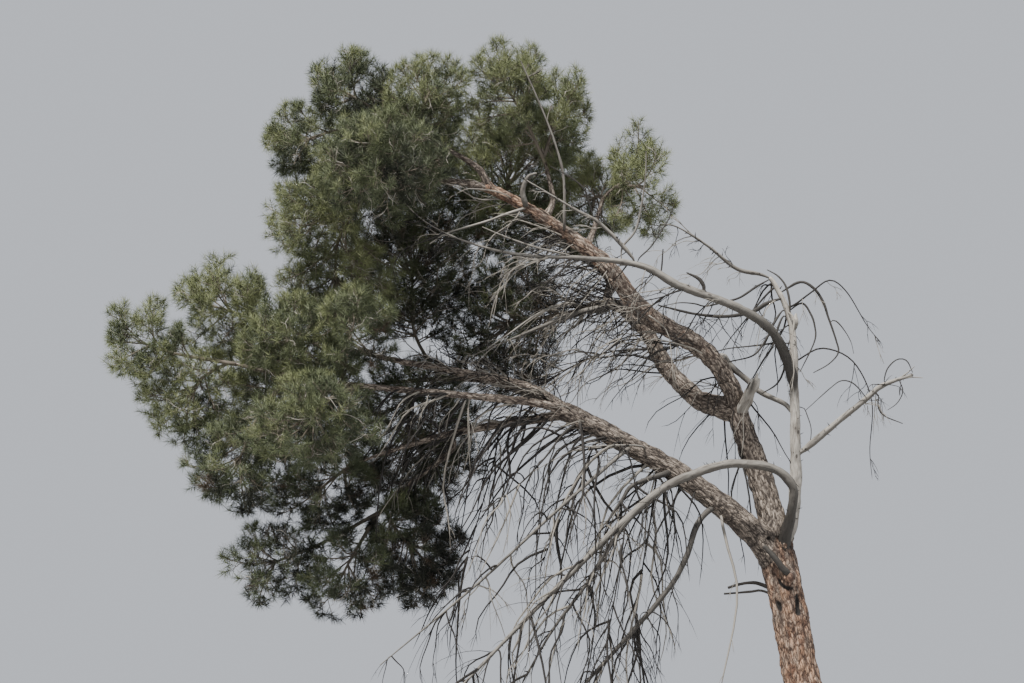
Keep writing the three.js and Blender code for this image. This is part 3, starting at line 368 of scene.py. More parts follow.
# Bare whips along the open parts of the limbs: the limb, the stretch of it as shares of its length, how
# many, the longest of them, and the way that they drift

HANGING_RUNS = [
    ("low_bough", (0.3, 1.0), 26, 2.4, (-0.5, -0.1, -0.9)),
    ("low_bough_middle", (0.05, 0.5), 26, 1.7, (-0.6, -0.2, -0.8)),
    ("low_bough_under", (0.0, 0.6), 26, 2.3, (-0.8, -0.1, -0.7)),
    ("low_bough_drop", (0.0, 0.6), 16, 1.4, (-0.5, 0, -0.8)),
    ("dead_hook", (0.4, 1.0), 2, 0.4, (0, 0, -0.7)),
    ("dead_droop", (0.2, 1.0), 36, 1.9, (-0.25, 0, -1.1)),
    ("droop_fork", (0.1, 1.0), 24, 1.5, (-0.2, 0, -1.1)),
    ("dead_hanger", (0.3, 1.0), 14, 0.9, (-0.2, 0, -1.0)),
    ("under_stem", (0.2, 1.0), 10, 1.6, (-0.1, 0, -1.2)),
    ("under_whip", (0.2, 1.0), 12, 1.4, (-0.2, 0, -1.0)),
    ("long_whip", (0.2, 1.0), 24, 1.2, (-0.2, 0, -1.0)),
    ("pale_whip", (0.2, 1.0), 8, 1.2, (-0.3, 0, -1.0)),
    ("high_bough", (0.2, 0.7), 14, 1.7, (-0.1, -0.2, -1.0)),
    ("dead_leader", (0.74, 1.0), 9, 1.4, (-0.6, -0.1, -0.8)),
    ("broken_stub", (0.5, 1.0), 4, 1.3, (0.2, -0.2, -1.1)),
]

CROWN_RUNS = [
    ("low_bough_upper", (0.05, 0.5), 36, 1.2, (-0.9, -0.1, -0.2)),
    ("low_bough", (0.45, 1.0), 30, 1.6, (-0.9, -0.2, 0.1)),
    ("inner_bough", (0.35, 1.0), 60, 2.0, (-1.0, -0.1, -0.2)),
    ("high_bough", (0.3, 0.95), 60, 2.0, (-1.0, -0.1, -0.3)),
    ("crown_bough_back", (0.0, 0.6), 75, 1.7, (-0.5, -0.4, -0.3)),
    ("low_bough_back", (0.0, 0.7), 60, 1.6, (-0.3, -0.6, 0.7)),
    ("inner_second", (0.1, 1.0), 16, 1.0, (-0.8, 0, -0.3)),
    ("dead_arch_left", (0.0, 0.9), 34, 1.4, (-0.7, 0, -0.5)),
    ("dead_arch_upper", (0.1, 1.0), 10, 1.0, (-0.7, 0, 0.2)),
    ("dead_arch", (0.4, 1.0), 5, 0.8, (-0.4, 0, -0.7)),
    ("dead_top_arm", (0.1, 1.0), 14, 0.8, (-0.5, 0, -0.4)),
    ("dead_side_arm", (0.4, 1.0), 8, 0.7, (0.2, 0, -0.6)),
    ("dead_leader", (0.55, 0.98), 8, 0.6, (0.2, 0, -0.7)),
    ("dead_spar", (0.2, 1.0), 6, 0.5, (-0.1, 0, 0.4)),
    ("rear_limb", (0.2, 1.0), 12, 1.0, (-0.2, 0, -0.9)),
]

# Vectors, with the last axis as X, Y and Z


def unit(vectors):
    return vectors / np.maximum(np.linalg.norm(vectors, axis=-1, keepdims=True), 1e-9)


def square_to(ways):
    """A direction at right angles to each way."""
    side = np.where(np.abs(ways[..., 2:]) < 0.9, UP, np.array([1.0, 0.0, 0.0]))
    return unit(np.cross(ways, side))


def turned(ways, turn, spread):
    """Ways tilted from their own direction by spread, towards the side that turn names."""
    across = square_to(ways)
    upward = np.cross(ways, across)
    sideways = np.cos(turn)[..., None] * across + np.sin(turn)[..., None] * upward
    return np.cos(spread)[..., None] * ways + np.sin(spread)[..., None] * sideways


def random_ways(rng, *shape):
    return unit(rng.normal(size=(*shape, 3)))


def along(lines, shares):
    """Places at shares (M, K) of the way along lines (M, N, 3), and the ways that the lines go there."""
    spot = np.clip(shares, 0, 1) * (lines.shape[1] - 1)
    low = np.minimum(spot.astype(int), lines.shape[1] - 2)
    rows = np.arange(len(lines))[:, None]
    start, end = lines[rows, low], lines[rows, low + 1]
    return start + (end - start) * (spot - low)[..., None], unit(end - start)


def bent(feet, tips, bend, steps):
    """Lines from feet to tips that leave against the bend and arrive along it."""
    share = np.linspace(0, 1, steps)[:, None]
    return feet[:, None] + (tips - feet)[:, None] * share + bend[:, None] * (share ** 2 - share)


def smooth_line(points, per_span=24):
    """A Catmull-Rom curve through the points, led straight past its ends."""
    points = np.asarray(points, float)
    points = np.vstack([2 * points[0] - points[1], points, 2 * points[-1] - points[-2]])
    t = np.linspace(0, 1, per_span, endpoint=False)[:, None]
    spans = [
        b + 0.5 * ((c - a) * t + (2 * a - 5 * b + 4 * c - d) * t ** 2 + (3 * b - a - 3 * c + d) * t ** 3)
        for a, b, c, d in zip(points, points[1:], points[2:], points[3:])
    ]
    return np.vstack([*spans, points[-2:-1]])


def arc_lengths(line):
    return np.concatenate([[0], np.cumsum(np.linalg.norm(np.diff(line, axis=0), axis=1))])


def even_steps(line, count):
    arc = arc_lengths(line)
    wanted = np.linspace(0, arc[-1], count)
    return np.column_stack([np.interp(wanted, arc, line[:, axis]) for axis in range(3)])


# Limbs


@dataclass
class Limb:
    name: str
    on: str
    line: np.ndarray
    radii: np.ndarray

    @property
    def length(self):
        return arc_lengths(self.line)[-1]


def foot_on(parent, target):
    """A place on the parent's centre line, a little back from where a limb leaves it for the target."""
    nearest = np.linalg.norm(parent.line - target, axis=1).argmin()
    share = nearest / (len(parent.line) - 1) - PULL_BACK * parent.radii[nearest] / parent.length
    return along(parent.line[None], np.array([[share]]))[0][0, 0]


def grow_limb(name, on, radii, path, limbs):
    path = np.array(path, float)
    if name in CONTINUED:
        path = np.vstack([limbs[on].line[-1], path])
    elif on:
        path = np.vstack([foot_on(limbs[on], path[0]), path])
    curve = smooth_line(path)
    count = max(FEWEST_STEPS, round(arc_lengths(curve)[-1] / LINE_STEP))
    shares = np.linspace(0, 1, count)
    return Limb(name, on, even_steps(curve, count), np.interp(shares, np.linspace(0, 1, len(radii)), radii))


def grow_limbs():
    limbs = {}
    for name, on, radii, path in LIMBS + BRANCHLETS:
        limbs[name] = grow_limb(name, on, radii, path, limbs)
    return limbs


def chosen(names, limbs):
    return [limbs[name] for name in names]


# Wood: tubes along the limbs under one skin, with plates of bark or grain raised in it

FLARE_HEIGHT, FLARE_SWELL, FLARE_LOBES = 0.38, 0.42, 5
LOBE_DEPTH = 0.12 * FLARE_SWELL
COLLAR_SWELL, COLLAR_LENGTH = 0.35, 0.22  # a limb thickens where it leaves another
DEAD_SWELL = 0.2  # the share of that which is left on dead wood
FOOT_TAPER = [0.45, 0.7, 0.9]
LONG_FOOT_TAPER = [0.3, 0.42, 0.54, 0.66, 0.78, 0.9]  # where dead wood grows along its parent
SLEEVE_FROM = 0.03  # the slightest limb that has a sleeve of bark at its foot
SLEEVE_GIRTH = (1.5, 1.02)  # of a sleeve at its foot and tip, in radii of its limb
SLEEVE_CLEAR = 0.4  # how far clear of the parent a sleeve ends, in radii of its limb
SLEEVE_STEPS = 3  # the fewest
TUBE_ROUNDNESS = 4
CUT_HEIGHT = 0.004  # below this a point belongs to the flat cut at the ground
BATCH = 4000  # points whose nearest limb is looked for at once

GRAIN_ZERO = (0.1, 1.0, 0.0)  # a way that no limb takes, from which turns round a limb are counted
GRAIN_APART = 7  # between the grain of two limbs, so that their plates differ
PLATE_STRETCH = 3.5  # how much longer a plate is than wide
PLATE_WARP = 0.35
PLATE_SLOPE = 0.4  # the share of a plate that slopes down to its crack
PLATE_LEVEL = 0.6  # the height of a plate that lies at the limb's own radius
LUMP_RISE, LUMP_PLATES = 0.9, 3  # lumps in the bark: height in depths of plate, size in plates
SWELL_RISE, SWELL_SIZE = 1.2, 0.4  # broad swells: the same height, size in metres
HOLLOW_DEPTH = 0.035

DEAD_SMOOTHING = 4
SMOOTHED_AWAY = 0.006  # how much slighter that leaves a dead limb
GNARLS = [(0.2, (0.1, 0.1, 0.25)), (0.12, (0.03, 0.03, 0.1))]  # height in limb radii, and size


def deselect():
    if bpy.context.object and bpy.context.object.mode != "OBJECT":
        bpy.ops.object.mode_set(mode="OBJECT")
    bpy.ops.object.select_all(action="DESELECT")


def swollen_radii(limb):
    """Radii with the root flare, or the collar round a foot whose very end is drawn in to stay hidden."""
    radii = limb.radii.copy()
    if limb.name == "trunk":
        return radii * (1 + FLARE_SWELL * np.exp(-np.maximum(limb.line[:, 2], 0) / FLARE_HEIGHT))
    if limb.name not in CONTINUED and limb.name != "sleeve":
        on_dead = limb.on.startswith("dead")
        swell = COLLAR_SWELL * (DEAD_SWELL if on_dead or limb.name.startswith("dead") else 1)
        radii *= 1 + swell * np.exp(-arc_lengths(limb.line) / (COLLAR_LENGTH + limb.radii[0]))
        taper = LONG_FOOT_TAPER if on_dead and len(radii) > 2 * len(LONG_FOOT_TAPER) else FOOT_TAPER
        radii[:len(taper)] *= taper
    return radii


def bark_sleeves(inside, limbs):
    """Short sleeves of bark at the feet of limbs that leave this skin for another piece."""
    sleeves = []
    for limb in limbs.values():
        if limb.on not in inside or limb.name in inside or limb.radii[0] < SLEEVE_FROM:
            continue
        parent = limbs[limb.on]
        gaps = np.linalg.norm(limb.line[:, None] - parent.line, axis=2) - parent.radii
        steps = max(SLEEVE_STEPS, int((gaps.min(1) < SLEEVE_CLEAR * limb.radii[0]).sum()))
        radii = limb.radii[:steps] * np.linspace(*SLEEVE_GIRTH, steps)
        sleeves.append(Limb("sleeve", limb.on, limb.line[:steps], radii))
    return sleeves


def tubes_along(name, limbs):
    """One curve object with a round section, a run of it for each limb, made a mesh."""
    deselect()
    bpy.ops.curve.primitive_nurbs_path_add()
    wood = bpy.context.object
    wood.name = name
    curve = wood.data
    curve.splines.clear()
    curve.bevel_depth = 1
    curve.bevel_resolution = TUBE_ROUNDNESS
    curve.use_fill_caps = True
    for limb in limbs:
        run = curve.splines.new("POLY")
        run.points.add(len(limb.line) - 1)
        run.points.foreach_set("co", np.column_stack([limb.line, np.ones(len(limb.line))]).ravel())
        run.points.foreach_set("radius", swollen_radii(limb))
    bpy.ops.object.convert(target="MESH")
    return bpy.context.object


def apply_modifier(piece, kind, **settings):
    modifier = piece.modifiers.new(kind.title(), kind)
    for key, value in settings.items():
        setattr(modifier, key, value)
    bpy.ops.object.modifier_apply(modifier=modifier.name)


def cut_at_ground(piece):
    bpy.ops.object.mode_set(mode="EDIT")
    bpy.ops.mesh.select_all(action="SELECT")
    bpy.ops.mesh.bisect(plane_co=(0, 0, 0), plane_no=(0, 0, 1), use_fill=True, clear_inner=True)
    bpy.ops.object.mode_set(mode="OBJECT")


def read_vectors(rows, name):
    values = np.empty(3 * len(rows))
    rows.foreach_get(name, values)
    return values.reshape(-1, 3)


def store(mesh, name, values):
    """Keeps a number or a vector for each corner of the mesh, which its material reads by name."""
    kind, field = ("FLOAT_VECTOR", "vector") if values.ndim == 2 else ("FLOAT", "value")
    mesh.attributes.new(name, kind, "POINT").data.foreach_set(field, values.ravel().astype(np.float32))


def nearest_places(points, limbs):
    """For each point, the limb it belongs to and the step of that limb's centre line."""
    lines = np.vstack([limb.line for limb in limbs])
    radii = np.concatenate([swollen_radii(limb) for limb in limbs])
    owner = np.concatenate([np.full(len(limb.line), i) for i, limb in enumerate(limbs)])
    step = np.concatenate([np.arange(len(limb.line)) for limb in limbs])
    best = np.empty(len(points), int)
    for start in range(0, len(points), BATCH):
        gaps = np.linalg.norm(points[start:start + BATCH, None] - lines, axis=2) - radii
        best[start:start + BATCH] = gaps.argmin(axis=1)
    return owner[best], step[best]


def unbent(points, limbs, owner, step):
    """Each point's place in its limb as if that were straight: two ways across it and one along it."""
    grain = np.empty_like(points)
    for i, limb in enumerate(limbs):
        mine = owner == i
        ways = unit(np.gradient(limb.line, axis=0))[step[mine]]
        offset = points[mine] - limb.line[step[mine]]
        across = unit(np.cross(ways, GRAIN_ZERO))
        along_limb = arc_lengths(limb.line)[step[mine]] + (offset * ways).sum(1)
        grain[mine, 0] = (offset * across).sum(1)
        grain[mine, 1] = (offset * np.cross(ways, across)).sum(1)
        grain[mine, 2] = along_limb + GRAIN_APART * i
    return grain


def plates(grain, width):
    """Height from 0 in a crack to 1 on a plate of bark."""
    height = np.empty(len(grain))
    for i, place in enumerate(grain / (width * np.array([1, 1, PLATE_STRETCH]))):
        near, far, *_ = noise.voronoi(place + PLATE_WARP * np.array(noise.noise_vector(place)))[0]
        height[i] = far - near
    return np.clip(height / PLATE_SLOPE, 0, 1)


def lumps(grain, size):
    return np.array([noise.noise(place) for place in grain / size])


def softened(mesh, values):
    """Values blended along the mesh's edges, so that they drift from limb to limb."""
    ends = np.empty(2 * len(mesh.edges), int)
    mesh.edges.foreach_get("vertices", ends)
    first, second = ends.reshape(-1, 2).T
    near = np.maximum(np.bincount(ends, minlength=len(values)), 1)
    for _ in range(SOFTENED):
        around = np.bincount(first, values[second], len(values))
        around += np.bincount(second, values[first], len(values))
        values = (values + around / near) / 2
    return values


def hollowness(points):
    """1 in the middle of the scars, falling to 0 round them."""
    depth = np.zeros(len(points))
    for start, end, size in HOLLOWS:
        start, run = np.array(start), np.subtract(end, start)
        share = np.clip((points - start) @ run / (run @ run), 0, 1)
        away = np.linalg.norm(points - start - share[:, None] * run, axis=1)
        depth = np.maximum(depth, np.exp(-(away / size) ** 2))
    return depth


def burl_on(points):
    """1 on top of the burl, falling to 0 round it, and the same in the crease along its lower side, sunk and
    darkened there as the burl's painted shadow.
    """
    offset = points - BURL_PLACE
    away = np.linalg.norm(offset, axis=1) / BURL_SIZE
    side = np.clip(offset @ BURL_SHADE / BURL_SIZE, 0, 1)
    return np.exp(-away ** 2), side * np.exp(-((away - CREASE_AWAY) / CREASE_WIDTH) ** 2)


def limb_values(limbs, owner, step, table, usual):
    """A value that runs from the first to the second number of its row in the table, foot to tip."""
    values = np.empty(len(owner))
    for i, limb in enumerate(limbs):
        mine = owner == i
        foot, tip = table.get(limb.name, usual)
        values[mine] = foot + (tip - foot) * step[mine] / (len(limb.line) - 1)
    return values


def skin_over(name, limbs, cell, smoothing):
    piece = tubes_along(name, limbs)
    apply_modifier(piece, "REMESH", mode="VOXEL", voxel_size=cell)
    apply_modifier(piece, "SMOOTH", factor=0.5, iterations=smoothing)
    return piece


def flare_lobes(points, grain):
    """The lobes round the root flare, which fade upwards."""
    angle = np.arctan2(grain[:, 1], grain[:, 0])
    return LOBE_DEPTH * np.sin(FLARE_LOBES * angle) * np.exp(-points[:, 2] / FLARE_HEIGHT)


def bark_piece(name, names, limbs, cell, smoothing, plate_width, depth):
    """The named live limbs under one skin of cracked plates."""
    covered = chosen(names, limbs)
    piece = skin_over(name, covered + bark_sleeves(names, limbs), cell, smoothing)
    if "trunk" in names:
        cut_at_ground(piece)
    mesh = piece.data
    points, normals = read_vectors(mesh.vertices, "co"), read_vectors(mesh.vertices, "normal")
    owner, step = nearest_places(points, covered)
    grain = unbent(points, covered, owner, step)
    height = plates(grain, plate_width)
    rise = height - PLATE_LEVEL + LUMP_RISE * lumps(grain, LUMP_PLATES * plate_width)
    rise = depth * (rise + SWELL_RISE * lumps(grain, SWELL_SIZE))
    burl, crease = burl_on(points)
    # The scars and the burl's crease are sunk here, and darkened in the finish as painted shade and painted
    # shadow.
    hollow = np.maximum(hollowness(points), crease)
    rise += BURL_RISE * burl - HOLLOW_DEPTH * hollow
    if "trunk" in names:
        rise += np.where(owner == names.index("trunk"), flare_lobes(points, grain), 0)
    moved = np.where(points[:, 2:] < CUT_HEIGHT, points, points + normals * rise[:, None])
    moved[:, 2] = np.maximum(moved[:, 2], 0)
    mesh.vertices.foreach_set("co", moved.ravel())
    store(mesh, "grain", grain)
    store(mesh, "plate", height)
    store(mesh, "hollow", hollow)
    store(mesh, "warmth", limb_values(covered, owner, step, WARMTH, USUAL_WARMTH))
    bpy.ops.object.shade_smooth()
    return piece


def dead_piece(name, names, limbs, cell):
    """Dead limbs that have lost their bark: smooth wood with long lumps and a fine grain."""
    covered = chosen(names, limbs)
    piece = skin_over(name, covered, cell, DEAD_SMOOTHING) if cell else tubes_along(name, covered)
    mesh = piece.data
    points, normals = read_vectors(mesh.vertices, "co"), read_vectors(mesh.vertices, "normal")
    owner, step = nearest_places(points, covered)
    grain = unbent(points, covered, owner, step)
    girth = np.array([covered[i].radii[s] for i, s in zip(owner, step)])
    rise = girth * sum(height * lumps(grain, size) for height, size in GNARLS)
    rise += SMOOTHED_AWAY if cell else 0
    mesh.vertices.foreach_set("co", (points + normals * rise[:, None]).ravel())
    store(mesh, "grain", grain)
    pale = {key: np.broadcast_to(PALENESS.get(key, USUAL_PALENESS), 2) for key in names}
    paleness = limb_values(covered, owner, step, pale, None)
    if cell:
        paleness = softened(mesh, paleness)
    # Painted shade in the scars' hollows darkens the dead wood too.
    store(mesh, "paleness", paleness * (1 - hollowness(points)))
    # The way each corner faces, which darkens the under sides in the finish as painted shade.
    store(mesh, "upward", normals[:, 2])
    bpy.ops.object.shade_smooth()
    return piece


# Twigs: tapering tubes round lines, many in one mesh

# How thick each kind is at its foot and at its tip, and how many sides its tubes have

TUBES = {
    "stem": (0.032, 0.016, 7),
    "boughlets": (0.014, 0.006, 5),
    "twigs": (0.0065, 0.004, 3),
    "shoots": (0.0045, 0.003, 3),
    "curls": (0.006, 0.0035, 3),
    "curl_twigs": (0.004, 0.0025, 3),
    "whip_twigs": (0.0058, 0.0026, 3),
    "fine_twigs": (0.0035, 0.002, 3),
}


def tube_shells(lines, radii, sides):
    """Corners and triangles of closed tubes round lines (M, N, 3), each running to a point at its tip."""
    count, steps = lines.shape[:2]
    ways = unit(np.gradient(lines, axis=1))
    across = np.empty_like(lines)
    across[:, 0] = square_to(ways[:, 0])
    for i in range(1, steps):
        last = across[:, i - 1]
        across[:, i] = unit(last - ways[:, i] * (last * ways[:, i]).sum(-1, keepdims=True))
    upward = np.cross(ways, across)
    angles = 2 * math.pi * np.arange(sides)[:, None] / sides
    rings = np.cos(angles) * across[:, :-1, None] + np.sin(angles) * upward[:, :-1, None]
    rings = lines[:, :-1, None] + rings * radii[:, :-1, None, None]
    corners = np.concatenate([rings.reshape(count, -1, 3), lines[:, -1:]], axis=1)
    return corners, shell_faces(steps - 1, sides)


def shell_faces(rings, sides):
    faces = []
    for i in range(sides):
        turn = (i + 1) % sides
        for ring in range(rings - 1):
            low, high = ring * sides, (ring + 1) * sides
            faces += [(low + i, low + turn, high + turn), (low + i, high + turn, high + i)]
        last = (rings - 1) * sides
        faces.append((last + i, last + turn, rings * sides))
    faces += [(0, i + 1, i) for i in range(1, sides - 1)]
    return np.array(faces)


def tapering(feet, tips, steps):
    """Radii along lines, from those at their feet to those at their tips."""
    share = np.linspace(0, 1, steps)
    return feet[:, None] * (1 - share) + tips[:, None] * share


class Shells:
    """Corners, triangles and finishes gathered for one joined mesh."""

    def __init__(self):
        self.corners, self.faces, self.looks = [], [], []
        self.count = 0

    def add(self, corners, faces, looks):
        """Copies (M, V, 3) of one form whose triangles are faces, each with its own finish."""
        copies, size = corners.shape[:2]
        starts = self.count + size * np.arange(copies)
        self.corners.append(corners.reshape(-1, 3))
        self.faces.append((faces[None] + starts[:, None, None]).reshape(-1, 3))
        self.looks.append(np.repeat(np.broadcast_to(looks, copies), len(faces)))
        self.count += copies * size

    def piece(self, name, finishes, smooth):
        """The joined mesh as an object of that name."""
        corners, faces, looks = (np.concatenate(part) for part in (self.corners, self.faces, self.looks))
        mesh = bpy.data.meshes.new(name)
        mesh.vertices.add(len(corners))
        mesh.vertices.foreach_set("co", corners.ravel().astype(np.float32))
        mesh.loops.add(faces.size)
        mesh.loops.foreach_set("vertex_index", faces.ravel().astype(np.int32))
        mesh.polygons.add(len(faces))
        mesh.polygons.foreach_set("loop_start", np.arange(0, faces.size, 3, dtype=np.int32))
        mesh.polygons.foreach_set("material_index", looks.astype(np.int32))
        for finish in finishes:
            mesh.materials.append(finish)
        mesh.update(calc_edges=True)
        if smooth:
            mesh.shade_smooth()
        piece = bpy.data.objects.new(name, mesh)
        bpy.context.scene.collection.objects.link(piece)
        return piece


# Foliage. Each mass keeps to its space: its ellipsoid, cut from its neighbours' by planes. A stem bows
# from the limb to the middle, boughlets run to the roomiest places, and twigs and shoots branch from them.

FULLNESS = 1.12  # how far a mass reaches past its ellipsoid, less the needles
CHOICES = 30  # the places that are compared for each tip of a boughlet
OUTER_PART = (0.6, 1)  # the shares of its mass's reach at which it may lie
BOUGHLETS_PER_AREA = 28  # for each square metre of a mass's mean radius squared

STEM_BACK, STEM_STRETCH = 0.25, (0.2, 0.97)  # how far back on its limb a stem leaves, and where it may
STEM_BOW, STEM_DRIFT = 0.12, 0.4
STEM_PAST = 0.2  # how far a stem runs past the middle, in the size of the mass
STEM_POINTS = 14
BOUGHLET_BACK, BOUGHLET_STRETCH = 0.4, (0.2, 0.98)
BOUGHLET_LIFT, BOUGHLET_LAG = (0.1, 0.4), 0.35  # how far its bend turns it up, and on along the stem
BOUGHLET_POINTS = 8


@dataclass
class SideGrowth:
    """How side growths branch from a line."""
    count: int
    stretch: tuple  # the part of the line that they grow on
    lengths: tuple
    spread: tuple  # from the line, in degrees
    lift: float
    points: int


# Twigs and curls have their lengths in the size of the mass, and shoots in metres

TWIGS = SideGrowth(9, (0.3, 0.95), (0.3, 0.48), (35, 65), 0.25, 5)
SHOOTS = SideGrowth(3, (0.35, 0.9), (0.13, 0.22), (30, 55), 0.3, 3)
CURLS = SideGrowth(3, (0.4, 0.95), (0.35, 0.6), (35, 80), 0.1, 8)  # bare and crooked
STRETCH_DRIFT = 0.03
FOOT_LENGTH, LENGTH_FALL = 1.15, 0.45  # side growths get shorter towards the tip of their line
SHORTENED = (1, 0.75, 0.5)  # the lengths that are tried in turn, until one stays in the space
CURL_SWING = 0.22
WAVE_SHARE = 0.28  # of the short wave in a crooked twig, beside its long bow

FOLIAGE_SEED = 2000
GAPS = -0.42  # shoots have lost their needles where the noise is below this
GAP_SIZE, GAP_SHIFT = 0.4, -3
DYING_FROM, DYING_LIGHT = 0.47, 0.5  # shaded needles are browned where the noise is above this
DYING_SIZE, DYING_SHIFT = 0.37, 2

NEEDLE_PAIRS = 20
NEEDLE_LENGTH = (0.11, 0.16)
NEEDLE_WIDTH = (0.0078, 0.0052)  # in the shade, where they are seen only in the mass, and in full light
PAIR_ANGLE = math.radians(13)
NEEDLED_STRETCH = (0.2, 1)
FOOT_SPREAD, TIP_SPREAD, SPREAD_CURVE = 86, 24, 1.5  # from the shoot, in degrees
SPREAD_DRIFT, TURN_DRIFT = 9, 0.3  # in degrees, and in radians

# What makes a spray's painted light: facing the sun, lying outside in its mass, broad patches and chance

SUN_SIDE = unit(np.array([-0.55, -0.45, 0.75]))
FACING_GAIN, OUTSIDE_GAIN, PATCH_GAIN, CHANCE_GAIN = 0.24, 0.4, 0.55, 0.09
EVEN_DEPTH = 0.75  # the share of its reach at which a spray is as light as its mass
PATCH_SIZE = 0.45
LIGHTEST = 0.999

CENTRES = np.array([row[2] for row in FOLIAGE], float)
REACHES = FULLNESS * np.array([row[3] for row in FOLIAGE]) - NEEDLE_LENGTH[0]
MEANS = np.cbrt(REACHES.prod(axis=1))


def in_space(points, mass):
    """Whether points lie in the mass's reach, and on its own side of the planes to its neighbours."""
    offset = points[..., None, :] - CENTRES
    power = (offset ** 2).sum(-1) - MEANS ** 2
    others = np.delete(power, mass, axis=-1).min(-1)
    in_frame = ((points > cad_box[0]) & (points < cad_box[1])).all(-1)
    reached = np.linalg.norm(offset[..., mass, :] / REACHES[mass], axis=-1) < 1
    return in_frame & reached & (power[..., mass] < others)


def grow_stem(mass, parent, rng):
    """A stem that leaves its limb forwards, bows, and runs on a little past the middle of its mass."""
    nearest = np.linalg.norm(parent.line - CENTRES[mass], axis=1).argmin()
    away = np.linalg.norm(parent.line[nearest] - CENTRES[mass])
    share = nearest / (len(parent.line) - 1) - STEM_BACK * away / parent.length
    foot, way = (value[0, 0] for value in along(parent.line[None], np.clip([[share]], *STEM_STRETCH)))
    reach = CENTRES[mass] - foot
    end = CENTRES[mass] + STEM_PAST * MEANS[mass] * unit(reach)
    bow = STEM_BOW * np.linalg.norm(reach) * (way + STEM_DRIFT * random_ways(rng))
    return even_steps(smooth_line([foot, foot + reach / 2 + bow, end]), STEM_POINTS)


def roomy_tips(mass, wanted, rng):
    """Tips placed one by one, each at the roomiest of several places in the outer part of the mass."""
    tips = [CENTRES[mass]]
    while len(tips) <= wanted:
        shares = rng.uniform(*OUTER_PART, (CHOICES, 1))
        places = CENTRES[mass] + random_ways(rng, CHOICES) * shares * REACHES[mass]
        places = places[in_space(places, mass)]
        if len(places):
            room = np.linalg.norm(places[:, None] - np.array(tips), axis=2).min(1)
            tips.append(places[room.argmax()])
    return np.array(tips[1:])


def grow_boughlets(stem, tips, rng):
    """Boughlets leave the stem a little before the place nearest to their tips, and turn up at the end."""
    gaps = np.linalg.norm(tips[:, None] - stem, axis=2)
    away = gaps.min(1)
    shares = gaps.argmin(1) / (len(stem) - 1) - BOUGHLET_BACK * away / arc_lengths(stem)[-1]
    feet, ways = (value[0] for value in along(stem[None], np.clip(shares, *BOUGHLET_STRETCH)[None]))
    bend = away[:, None] * (rng.uniform(*BOUGHLET_LIFT, (len(tips), 1)) * UP - BOUGHLET_LAG * ways)
    return bent(feet, tips, bend, BOUGHLET_POINTS)


def side_growth(lines, growth, scale, mass, rng):
    """Side growths all round each line, shortened to stay in the mass's space or left out."""
    drift = rng.uniform(-STRETCH_DRIFT, STRETCH_DRIFT, (len(lines), growth.count))
    shares = np.linspace(*growth.stretch, growth.count) + drift
    feet, ways = along(lines, shares)
    turn = GOLDEN_TURN * np.arange(growth.count) + rng.uniform(0, 2 * math.pi, (len(lines), 1))
    spreads = np.radians(rng.uniform(*growth.spread, feet.shape[:2]))
    heading = unit(turned(ways, turn, spreads) + growth.lift * UP)
    lengths = rng.uniform(*(scale * np.array(growth.lengths)), feet.shape[:2])
    reach = (lengths * (FOOT_LENGTH - LENGTH_FALL * shares)).ravel()
    feet, heading = feet.reshape(-1, 3), heading.reshape(-1, 3)
    kept = np.zeros(len(feet), bool)
    tips = np.empty_like(feet)
    for size in SHORTENED:
        places = feet + heading * (size * reach)[:, None]
        fits = ~kept & in_space(places, mass)
        tips[fits] = places[fits]
        kept |= fits
    feet, tips = feet[kept], tips[kept]
    bend = growth.lift * np.linalg.norm(tips - feet, axis=1)[:, None] * UP
    return bent(feet, tips, bend, growth.points)


def crooked(lines, swing, rng):
    """The lines swung aside between their ends, in one long bow and a shorter wave."""
    share = np.linspace(0, 1, lines.shape[1])[:, None]
    reach = np.linalg.norm(lines[:, -1] - lines[:, 0], axis=1)[:, None, None]
    bow = random_ways(rng, len(lines))[:, None] * np.sin(math.pi * share)
    wave = random_ways(rng, len(lines))[:, None] * np.sin(3 * math.pi * share)
    return lines + swing * reach * (bow + WAVE_SHARE * wave)


def light_on(tips, mass, light, rng):
    """How light each spray is, from 0 to 1."""
    offset = (tips - CENTRES[mass]) / REACHES[mass]
    facing = FACING_GAIN * (offset @ SUN_SIDE)
    outside = OUTSIDE_GAIN * (np.linalg.norm(offset, axis=1) - EVEN_DEPTH)
    patches = PATCH_GAIN * lumps(tips, PATCH_SIZE)
    chance = rng.normal(0, CHANCE_GAIN, len(tips))
    return np.clip(light + facing + outside + patches + chance, 0, LIGHTEST)


def needle_looks(tips, light, tones):
    """The tone of each spray by its light, and the last one, browned, where needles die in the shade."""
    dying = lumps(tips + DYING_SHIFT, DYING_SIZE) > DYING_FROM
    return np.where(dying & (light < DYING_LIGHT), tones - 1, (light * (tones - 1)).astype(int))


def needle_corners(shoots, light, rng):
    """Pairs of needles round each shoot, spread wide at its foot and pointing on at its tip."""
    count = len(shoots)
    shares = np.linspace(*NEEDLED_STRETCH, NEEDLE_PAIRS) + np.zeros((count, 1))
    feet, ways = along(shoots, shares)
    turn = GOLDEN_TURN * np.arange(NEEDLE_PAIRS) + rng.uniform(0, 2 * math.pi, (count, 1))
    turn = turn + rng.normal(0, TURN_DRIFT, turn.shape)
    spread = FOOT_SPREAD - (FOOT_SPREAD - TIP_SPREAD) * shares ** SPREAD_CURVE
    spread = np.radians(spread + rng.normal(0, SPREAD_DRIFT, shares.shape))
    heading = turned(ways, turn, spread)
    aside = unit(np.cross(heading, random_ways(rng, count, NEEDLE_PAIRS)))
    length = rng.uniform(*NEEDLE_LENGTH, shares.shape)[..., None]
    edge = aside * np.interp(light, (0, 1), NEEDLE_WIDTH)[:, None, None] / 2
    apart = np.cross(heading, aside) * math.tan(PAIR_ANGLE)
    tips = [feet + unit(heading + side * apart) * length for side in (1, -1)]
    return np.stack([feet - edge, feet + edge, *tips], axis=2).reshape(-1, 4, 3)


